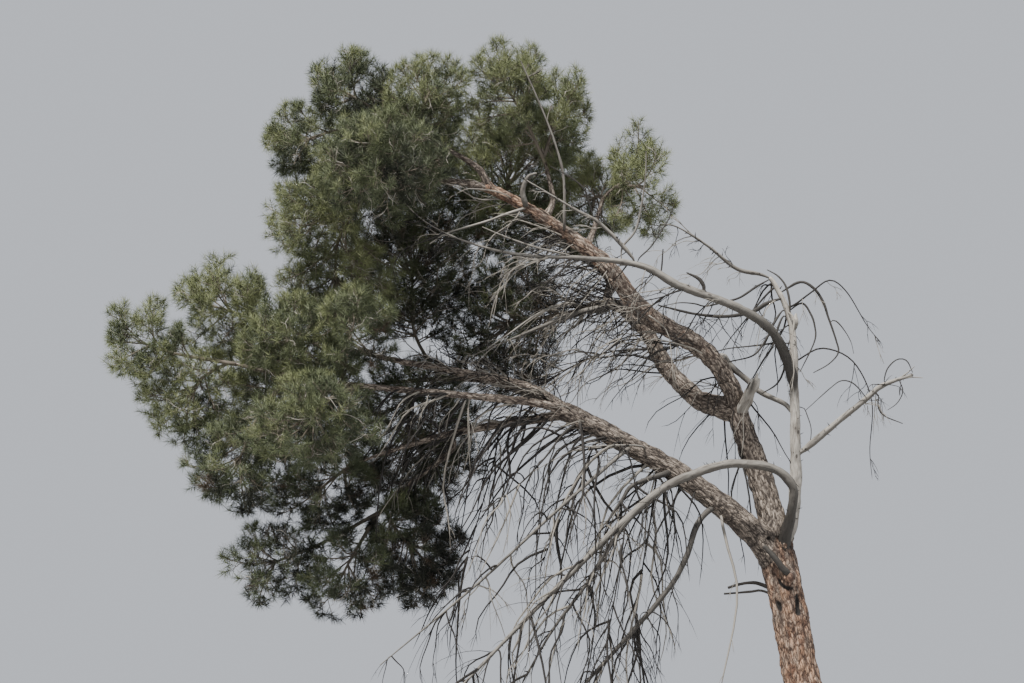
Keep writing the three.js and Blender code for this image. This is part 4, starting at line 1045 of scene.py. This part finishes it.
def grow_mass(mass, limbs):
    """Everything that grows in one mass: lines by order of branching, and its shoots with their light."""
    name, on, _, _, fullness, light = FOLIAGE[mass]
    rng = np.random.default_rng(FOLIAGE_SEED + mass)
    size = MEANS[mass]
    stem = grow_stem(mass, limbs[on], rng)
    tips = roomy_tips(mass, round(BOUGHLETS_PER_AREA * fullness * size ** 2), rng)
    boughlets = grow_boughlets(stem, tips, rng)
    twigs = side_growth(boughlets, TWIGS, size, mass, rng)
    shoots = side_growth(twigs, SHOOTS, 1, mass, rng)
    ends = [bent(lines[:, -2], lines[:, -1], 0 * lines[:, 0], 3) for lines in (boughlets, twigs)]
    sprays = np.concatenate([*ends, shoots])
    leafy = rng.uniform(size=len(sprays)) >= BARENESS.get(name, 0)
    sprays = sprays[leafy & (lumps(sprays[:, -1] + GAP_SHIFT, GAP_SIZE) > GAPS)]
    curls = crooked(side_growth(boughlets, CURLS, size, mass, rng), CURL_SWING, rng)
    return {
        "stem": stem[None], "boughlets": boughlets, "twigs": twigs, "shoots": shoots, "sprays": sprays,
        "curls": curls, "curl_twigs": bare_side_twigs(curls, CURL_TWIGS, rng),
        "light": light_on(sprays[:, -1], mass, light, rng), "rng": rng,
    }


# Bare twigs, which droop and drift as the whips of the frame do

BARE_STEM_RADII = [0.0156, 0.0132, 0.0108, 0.0084, 0.0048]
BARE_STEM_POINTS, BARE_STEM_SIDES = 30, 6
BARE_STRETCH = (0.1, 0.97)
# The dark and the pale bare twig finishes are one twig in painted shade and in painted sunlight, dealt at
# random.
DARK, PALE = 0, 1
SUNLIT_PALE_SHARE = {"hanging": 0.17, "crown": 0.45}
GROUND_CLEARANCE = 0.3

WHIP_RADII = {"hanging": (0.016, 0.005), "crown": (0.0095, 0.0036)}  # of a whip a metre long
WHIP_GIRTH = (0.45, 0.55)  # the share of that which any whip has, and the share that grows with it
WHIP_LENGTHS = (0.3, 1)  # shares of the longest
WHIP_POINTS, WHIP_SIDES = 10, 4
WHIP_SCATTER, WHIP_SLOWING = 0.65, 0.25
TWIG_SEEDS = {"hanging": 3000, "crown": 3001}
DROOP = {"hanging": 0.7, "crown": 0.2}
LIFT = {"hanging": 0.5, "crown": 0.22}
SWING = {"hanging": 0.12, "crown": 0.15}


@dataclass
class SideTwigs:
    """How bare side twigs branch from a line."""
    count: int
    lengths: tuple
    drop: float
    points: int


CURL_TWIGS = SideTwigs(2, (0.08, 0.24), 0.3, 4)
WHIP_TWIGS = SideTwigs(3, (0.25, 0.9), 0.45, 6)
FINE_TWIGS = SideTwigs(1, (0.12, 0.4), 0.3, 3)
TWIG_STRETCH, TWIG_SPREAD = (0.12, 0.97), (15, 45)
TWIG_LIMIT = 0.7  # the longest side twig, as a share of its line
TWIG_FOOT_LENGTH, TWIG_LENGTH_FALL = 1.2, 0.8

STUBS_PER_METRE = 9
STUB_STRETCH, STUB_SPREAD = (0.05, 0.95), (50, 95)
STUB_LENGTH, STUB_RADIUS = (0.02, 0.09), (0.004, 0.009)
STUB_SWELL, STUB_SIDES = 1.4, 5
STUBBED = {
    "hanging": ["dead_hook", "dead_droop", "dead_hanger", "droop_fork", "under_stem"],
    "crown": ["dead_leader", "dead_arch", "dead_arch_left", "dead_arch_upper", "dead_side_arm",
              "dead_top_arm"],
}


def whip_lines(feet, lengths, drift, kind, rng):
    """Lines that set out along their drift, slow down and droop."""
    heading = unit(WHIP_SCATTER * random_ways(rng, len(feet)) + np.array(drift) + LIFT[kind] * UP)
    share = np.linspace(0, 1, WHIP_POINTS)[:, None]
    reach = lengths[:, None, None]
    outward = heading[:, None] * reach * share * (1 - WHIP_SLOWING * share)
    sag = DROOP[kind] * reach * share ** 2 * UP
    return crooked(feet[:, None] + outward - sag, SWING[kind], rng)


def bare_side_twigs(lines, twigs, rng):
    """Side twigs of whips, bending down, each by the whip that it grows on."""
    shares = rng.uniform(*TWIG_STRETCH, (len(lines), twigs.count))
    feet, ways = along(lines, shares)
    spread = np.radians(rng.uniform(*TWIG_SPREAD, shares.shape))
    heading = unit(turned(ways, rng.uniform(0, 2 * math.pi, shares.shape), spread))
    longest = TWIG_LIMIT * np.linalg.norm(lines[:, -1] - lines[:, 0], axis=1)[:, None]
    reach = np.clip(rng.uniform(*twigs.lengths, shares.shape), 0, longest)
    reach = reach * (TWIG_FOOT_LENGTH - TWIG_LENGTH_FALL * shares)
    feet, tips = feet.reshape(-1, 3), (feet + heading * reach[..., None]).reshape(-1, 3)
    bend = -twigs.drop * reach.reshape(-1, 1) * UP
    return bent(feet, tips + bend / 2, bend, twigs.points)


def within_frame(lines):
    """Which lines stay clear of the ground and inside the frame's sides."""
    low, high = np.array(cad_box[0]) + GROUND_CLEARANCE * UP, np.array(cad_box[1])
    return ((lines > low) & (lines < high)).all((1, 2))


def add_tubes(shells, lines, foot_radii, tip_radii, sides, looks=0):
    ones = np.ones(len(lines))
    radii = tapering(foot_radii * ones, tip_radii * ones, lines.shape[1])
    corners, faces = tube_shells(lines, radii, sides)
    shells.add(corners, faces, looks)


def add_bare_growth(shells, kind, line, stretch, count, longest, drift, rng):
    """Whips along one limb, with their side twigs and the fine twigs on those."""
    feet = along(line[None], np.sort(rng.uniform(*stretch, (1, count))))[0][0]
    lengths = rng.uniform(*WHIP_LENGTHS, count) * longest
    looks = np.where(rng.uniform(size=count) < SUNLIT_PALE_SHARE[kind], PALE, DARK)
    whips = whip_lines(feet, lengths, drift, kind, rng)
    kept = within_frame(whips)
    whips, lengths, looks = whips[kept], lengths[kept], looks[kept]
    least, growing = WHIP_GIRTH
    foot, tip = np.outer(WHIP_RADII[kind], least + growing * lengths)
    add_tubes(shells, whips, foot, tip, WHIP_SIDES, looks)
    side = bare_side_twigs(whips, WHIP_TWIGS, rng)
    looks = np.repeat(looks, WHIP_TWIGS.count)
    kept = within_frame(side)
    side, looks = side[kept], looks[kept]
    add_tubes(shells, side, *TUBES["whip_twigs"], looks)
    fine = bare_side_twigs(side, FINE_TWIGS, rng)
    kept = within_frame(fine)
    add_tubes(shells, fine[kept][:, ::2], *TUBES["fine_twigs"], looks[kept])


def add_stubs(shells, limb, rng):
    """Short broken pegs all along a dead limb."""
    count = round(STUBS_PER_METRE * limb.length)
    shares = rng.uniform(*STUB_STRETCH, (1, count))
    feet, ways = (value[0] for value in along(limb.line[None], shares))
    turn = rng.uniform(0, 2 * math.pi, count)
    heading = turned(ways, turn, np.radians(rng.uniform(*STUB_SPREAD, count)))
    girth = np.interp(shares[0], np.linspace(0, 1, len(limb.radii)), limb.radii)
    tips = feet + heading * (girth + rng.uniform(*STUB_LENGTH, count))[:, None]
    radii = rng.uniform(*STUB_RADIUS, count)
    add_tubes(shells, bent(feet, tips, 0 * feet, 3), STUB_SWELL * radii, radii, STUB_SIDES, DARK)


def grow_bare_twigs(limbs, kind, stems, runs):
    """The whips on some stems and along some runs of limb, and the pegs on the dead limbs there."""
    shells = Shells()
    rng = np.random.default_rng(TWIG_SEEDS[kind])
    for name, on, count, longest, drift, path in stems:
        points = np.vstack([foot_on(limbs[on], np.array(path[0])), path])
        stem = even_steps(smooth_line(points), BARE_STEM_POINTS)
        steps = np.linspace(0, 1, len(BARE_STEM_RADII))
        radii = np.interp(np.linspace(0, 1, BARE_STEM_POINTS), steps, BARE_STEM_RADII)
        shells.add(*tube_shells(stem[None], radii[None], BARE_STEM_SIDES), DARK)
        add_bare_growth(shells, kind, stem, BARE_STRETCH, count, longest, drift, rng)
    for on, stretch, count, longest, drift in runs:
        add_bare_growth(shells, kind, limbs[on].line, stretch, count, longest, drift, rng)
    for name in STUBBED[kind]:
        add_stubs(shells, limbs[name], rng)
    return shells


# Finishes. Of two colours the first is the darker, and cells and waves are counted by the metre.

GREY_PLATES = (0.06, 0.048, 0.04), (0.37, 0.31, 0.255)
RUST_PLATES = (0.14, 0.063, 0.036), (0.56, 0.34, 0.21)
# The colour in the cracks is dark bark with painted shade in them.
CRACKS_AND_SHADE = (0.014, 0.011, 0.009), (0.035, 0.016, 0.01)  # in grey bark and in rusty bark
# The broad dark patches are dark bark and painted cast shadow.
PALE_FLAKES, SHADOW_AND_DARK_PATCHES, SCARS_AND_SHADE = (0.54, 0.43, 0.33), (0.05, 0.036, 0.028), (0.008, 0.006, 0.005)
PLATE_CELLS, FINE_CELLS, FLAKE_WAVES, PATCH_WAVES, HUE_WAVES = 26.0, 60.0, 85.0, 4.5, 11.0
DRIFT_WAVES, DRIFT_REACH = 14.0, 0.05
PLATE_BUMP, STREAK_BUMP, BUMP_STRENGTH = 0.014, 0.006, 0.8

DEAD_WOOD = (0.03, 0.026, 0.022), (0.46, 0.43, 0.38)
DEAD_STREAKS = (0.022, 0.019, 0.016), (0.14, 0.12, 0.1)
KNOTS = (0.035, 0.028, 0.024)
STREAK_WAVES, STAIN_WAVES, KNOT_CELLS = 70.0, 8.0, 9.0

TWIG_FINISHES = {
    "needle_twig_bark": ((0.15, 0.127, 0.1), 0.75),
    "bare_twig_grey": ((0.38, 0.355, 0.31), 0.75),
    # The dark and the pale bare twig are one twig painted as shaded and as sunlit.
    "bare_twig_shaded_dark": ((0.019, 0.016, 0.014), 0.75),
    "bare_twig_sunlit_pale": ((0.235, 0.215, 0.185), 0.7),
}
# Needle tones from painted shade to painted sunlight, dealt by each spray's painted light, and the browned
# needles' own colour last
NEEDLE_TONES = {
    "needles_shade": (0.024, 0.028, 0.018),
    "needles_deep": (0.049, 0.060, 0.031),
    "needles_middle": (0.086, 0.105, 0.051),
    "needles_light": (0.132, 0.156, 0.073),
    "needles_sunlit": (0.196, 0.220, 0.098),
    "needles_browned": (0.085, 0.060, 0.038),
}
NEEDLE_ROUGH = 0.5
TWIG_WAVES, NEEDLE_WAVES = 9.0, 2.0
MIX_INPUTS, MIX_RESULT = (0, 6, 7), 2  # the sockets of a Mix node that blends colours


class Value:
    """A shader socket that takes Python's arithmetic, one Math node for each step."""

    def __init__(self, finish, socket):
        self.finish = finish
        self.socket = socket

    def step(self, operation, *terms):
        return self.finish.node("Math", {"operation": operation}, *terms)

    def __add__(self, other):
        return self.step("ADD", self, other)

    __radd__ = __add__

    def __sub__(self, other):
        return self.step("SUBTRACT", self, other)

    def __rsub__(self, other):
        return self.step("SUBTRACT", other, self)

    def __mul__(self, other):
        return self.step("MULTIPLY", self, other)

    __rmul__ = __mul__


class Finish:
    """A material. Its calls add nodes and give back their outputs, ready for arithmetic."""

    def __init__(self, name):
        self.material = bpy.data.materials.new(name)
        self.material.use_nodes = True
        self.tree = self.material.node_tree
        self.shader = self.tree.nodes["Principled BSDF"]

    def feed(self, socket, value):
        if isinstance(value, Value):
            self.tree.links.new(value.socket, socket)
        elif isinstance(value, tuple) and len(value) == 3 and socket.type == "RGBA":
            socket.default_value = (*value, 1)
        else:
            socket.default_value = value

    def node(self, kind, settings, *values, output=0, **named):
        node = self.tree.nodes.new("ShaderNode" + kind)
        for key, value in settings.items():
            setattr(node, key, value)
        for socket, value in zip(node.inputs, values):
            self.feed(socket, value)
        for key, value in named.items():
            self.feed(node.inputs[key.replace("_", " ")], value)
        return Value(self, node.outputs[output])

    def attribute(self, name, output="Fac"):
        return self.node("Attribute", {"attribute_name": name}, output=output)

    def place(self):
        return self.node("TexCoord", {}, output="Object")

    def stretched(self, vector, scale):
        return self.node("VectorMath", {"operation": "MULTIPLY"}, vector, scale)

    def speckle(self, vector, scale, detail=4.0, output="Fac"):
        return self.node("TexNoise", {}, Vector=vector, Scale=scale, Detail=detail, output=output)

    def cells(self, vector, scale, feature, output):
        return self.node("TexVoronoi", {"feature": feature}, Vector=vector, Scale=scale, output=output)

    def rise(self, value, low, high):
        """0 below low, 1 above high, and a smooth step between."""
        settings = {"interpolation_type": "SMOOTHSTEP"}
        return self.node("MapRange", settings, Value=value, From_Min=low, From_Max=high)

    def blend(self, share, first, second):
        node = self.tree.nodes.new("ShaderNodeMix")
        node.data_type = "RGBA"
        for index, value in zip(MIX_INPUTS, (share, first, second)):
            self.feed(node.inputs[index], value)
        return Value(self, node.outputs[MIX_RESULT])

    def bump(self, height, distance):
        return self.node("Bump", {}, Height=height, Distance=distance, Strength=BUMP_STRENGTH)

    def surface(self, **values):
        for key, value in values.items():
            self.feed(self.shader.inputs[key.replace("_", " ")], value)
        return self.material


def drifting(bark, grain):
    """The grain led a little astray, so that cells drawn on it aren't all of one form."""
    astray = bark.speckle(grain, DRIFT_WAVES, output="Color")
    drift = bark.node("VectorMath", {"operation": "SCALE"}, astray, Scale=DRIFT_REACH)
    return bark.node("VectorMath", {"operation": "ADD"}, grain, drift)


def bark_finish():
    """Long flaking plates, grey-brown to orange-brown where the bark is warm, with broad dark patches of dark
    bark and painted cast shadow, over cracks and scars darkened partly as painted shade.
    """
    bark = Finish("pine_bark")
    grain = bark.attribute("grain", "Vector")
    plate, warmth, hollow = (bark.attribute(name) for name in ("plate", "warmth", "hollow"))
    flowing = bark.stretched(drifting(bark, grain), (1, 1, 0.22))
    tone = bark.rise(bark.cells(flowing, PLATE_CELLS, "F1", "Color"), 0.2, 0.8)
    fine_tone = bark.rise(bark.cells(flowing, FINE_CELLS, "F1", "Color"), 0.2, 0.8)
    edge = bark.cells(flowing, PLATE_CELLS, "DISTANCE_TO_EDGE", "Distance")
    flakes = bark.speckle(flowing, FLAKE_WAVES, 7.0)
    patches = bark.speckle(bark.stretched(grain, (1, 1, 0.6)), PATCH_WAVES)
    hues = bark.speckle(bark.stretched(grain, (1, 1, 0.4)), HUE_WAVES, 3.0)
    shade = 0.55 * tone + 0.45 * fine_tone
    grey, rust = bark.blend(shade, *GREY_PLATES), bark.blend(shade, *RUST_PLATES)
    colour = bark.blend(bark.rise(warmth + hues, 0.95, 1.45), grey, rust)
    colour = bark.blend(0.5 * bark.rise(flakes, 0.56, 0.72), colour, PALE_FLAKES)
    # Broad dark patches: partly dark bark, partly painted cast shadow
    colour = bark.blend(0.4 * bark.rise(patches, 0.5, 0.62), colour, SHADOW_AND_DARK_PATCHES)
    # The cracks are darkened by their dark bark and by painted shade in the recess.
    furrow = 1 - bark.rise(plate + 0.3 * flakes, 0.22, 0.52)
    split = 1 - bark.rise(edge + 0.15 * flakes, 0.12, 0.24)
    crack = 1 - (1 - 0.85 * furrow) * (1 - 0.7 * split)
    colour = bark.blend(crack, colour, bark.blend(warmth, *CRACKS_AND_SHADE))
    # Painted shade in the scars and painted shadow in the burl's crease
    colour = bark.blend(bark.rise(hollow, 0.25, 0.7), colour, SCARS_AND_SHADE)
    bumps = bark.bump(edge + 0.6 * flakes + 0.3 * tone, PLATE_BUMP)
    return bark.surface(Base_Color=colour, Roughness=0.8 + 0.15 * crack, Normal=bumps)


def dead_wood_finish():
    """Bare weathered wood, bone to dark grey and darker on its under side as painted shade, with cracks and
    darker streaks along the grain.
    """
    wood = Finish("weathered_dead_wood")
    grain = wood.attribute("grain", "Vector")
    streaks = wood.speckle(wood.stretched(grain, (1, 1, 0.07)), STREAK_WAVES, 6.0)
    patches = wood.speckle(wood.stretched(grain, (1, 1, 0.35)), STAIN_WAVES)
    knots = wood.cells(wood.stretched(grain, (1, 1, 0.5)), KNOT_CELLS, "F1", "Distance")
    paleness, upward = wood.attribute("paleness"), wood.attribute("upward")
    # Bleached on its top and, as painted shade, darker on its under side, the border broken by the stains
    bleached_and_shaded = paleness * (0.25 + 0.75 * wood.rise(upward + 0.5 * patches, -0.3, 0.55))
    base, streak = wood.blend(bleached_and_shaded, *DEAD_WOOD), wood.blend(paleness, *DEAD_STREAKS)
    worn = wood.blend(0.75 * wood.rise(streaks, 0.48, 0.68), base, streak)
    stained = wood.blend(0.55 * wood.rise(patches, 0.5, 0.66), worn, streak)
    colour = wood.blend(0.85 * (1 - wood.rise(knots, 0.1, 0.2)), stained, KNOTS)
    bumps = wood.bump(streaks, STREAK_BUMP)
    return wood.surface(Base_Color=colour, Roughness=0.62 + 0.25 * streaks, Normal=bumps)


def plain_finish(name, colour, rough, waves):
    """One base colour over the whole piece, with a roughness that drifts from place to place."""
    plain = Finish(name)
    drift = plain.speckle(plain.place(), waves, 2.0)
    return plain.surface(Base_Color=colour, Roughness=rough + 0.2 * drift)


def twig_finishes(*names):
    return [plain_finish(name, *TWIG_FINISHES[name], TWIG_WAVES) for name in names]


# The whole tree


def dressed(piece, slot, nodes, *finishes):
    """Gives a piece its finishes and its body, and hides the frame's parts that it stands for; the slot is
    not used.
    """
    for finish in finishes:
        piece.data.materials.append(finish)
    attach(piece, "root")
    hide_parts(*nodes)


def grow_wood(limbs):
    """The live wood in two pieces and the dead wood in two, stout and slight."""
    bark, dead = bark_finish(), dead_wood_finish()
    for name, (slot, covered, *build) in BARK_SKINS.items():
        dressed(bark_piece(name, covered, limbs, *build), slot, covered, bark)
    for name, (covered, branchlets, cell) in DEAD_SKINS.items():
        dressed(dead_piece(name, covered + branchlets, limbs, cell), "dead_wood", covered, dead)


def grow_foliage(limbs):
    """The needles of several masses in each piece, and one piece for the boughlets and for the shoots."""
    twig_barks = twig_finishes("needle_twig_bark", "bare_twig_grey")
    tones = [plain_finish(*tone, NEEDLE_ROUGH, NEEDLE_WAVES) for tone in NEEDLE_TONES.items()]
    names = [row[0] for row in FOLIAGE]
    boughlets, shoots = Shells(), Shells()
    for piece_name, masses in NEEDLE_PIECES.items():
        needles = Shells()
        for name in masses:
            grown = grow_mass(names.index(name), limbs)
            for kind in ("stem", "boughlets", "twigs"):
                add_tubes(boughlets, grown[kind], *TUBES[kind])
            add_tubes(shoots, grown["shoots"][:, ::2], *TUBES["shoots"])
            for kind in ("curls", "curl_twigs"):
                add_tubes(shoots, grown[kind], *TUBES[kind], PALE)
            corners = needle_corners(grown["sprays"], grown["light"], grown["rng"])
            looks = needle_looks(grown["sprays"][:, -1], grown["light"], len(tones))
            needles.add(corners, np.array([(0, 1, 2), (1, 0, 3)]), np.repeat(looks, NEEDLE_PAIRS))
        dressed(needles.piece(piece_name, tones, False), "needles", masses)
    dressed(boughlets.piece("foliage_boughlets", twig_barks[:1], True), "bough_bark", names)
    dressed(shoots.piece("foliage_shoots", twig_barks, True), "bough_bark", names)


def grow_bare_masses(limbs):
    """One piece for the whips that hang under the boughs, and one for those in the crown."""
    finishes = twig_finishes("bare_twig_shaded_dark", "bare_twig_sunlit_pale")
    hanging = [row for row in BARE_STEMS if row[0].startswith("hangers")]
    crown = [row for row in BARE_STEMS if row not in hanging]
    for kind, stems, runs in (("hanging", hanging, HANGING_RUNS), ("crown", crown, CROWN_RUNS)):
        shells = grow_bare_twigs(limbs, kind, stems, runs)
        piece = shells.piece("bare_twigs_" + kind, finishes, True)
        dressed(piece, "bare_twigs", [row[0] for row in stems])


# Stage, light and camera

GROUND_SIZE, GROUND_GREY = 400, (0.42, 0.42, 0.42)
SKY_COLOUR, SKY_STRENGTH = (0.88, 0.92, 1.0, 1), 0.7
SUN_TILT, SUN_TURN, SUN_SPREAD = math.radians(28), math.radians(-37), math.radians(4)
SUN_STRENGTH, SUN_COLOUR = 7.5, (1.0, 0.97, 0.92)
CAMERA_PLACE, CAMERA_PITCH = (-4.6, -42.4, 1.65), math.radians(7.2)
LENS_MM = 100
FARTHEST = 500


def set_stage():
    deselect()
    bpy.ops.mesh.primitive_plane_add(size=GROUND_SIZE)
    ground = bpy.context.object
    ground.name = "pale_floor"
    floor = Finish("pale_floor")
    ground.data.materials.append(floor.surface(Base_Color=GROUND_GREY, Roughness=0.9))


def set_light():
    world = bpy.data.worlds.new("pale_studio")
    bpy.context.scene.world = world
    world.use_nodes = True
    background = world.node_tree.nodes["Background"].inputs
    background["Color"].default_value = SKY_COLOUR
    background["Strength"].default_value = SKY_STRENGTH
    bpy.ops.object.light_add(type="SUN", rotation=(SUN_TILT, 0, SUN_TURN))
    sun = bpy.context.object.data
    sun.energy = SUN_STRENGTH
    sun.angle = SUN_SPREAD
    sun.color = SUN_COLOUR


def set_camera():
    bpy.ops.object.camera_add(location=CAMERA_PLACE, rotation=(math.pi / 2 + CAMERA_PITCH, 0, 0))
    camera = bpy.context.object
    camera.data.lens = LENS_MM
    camera.data.clip_end = FARTHEST
    bpy.context.scene.camera = camera


limbs = grow_limbs()
grow_wood(limbs)
grow_foliage(limbs)
grow_bare_masses(limbs)
set_stage()
set_light()
set_camera()
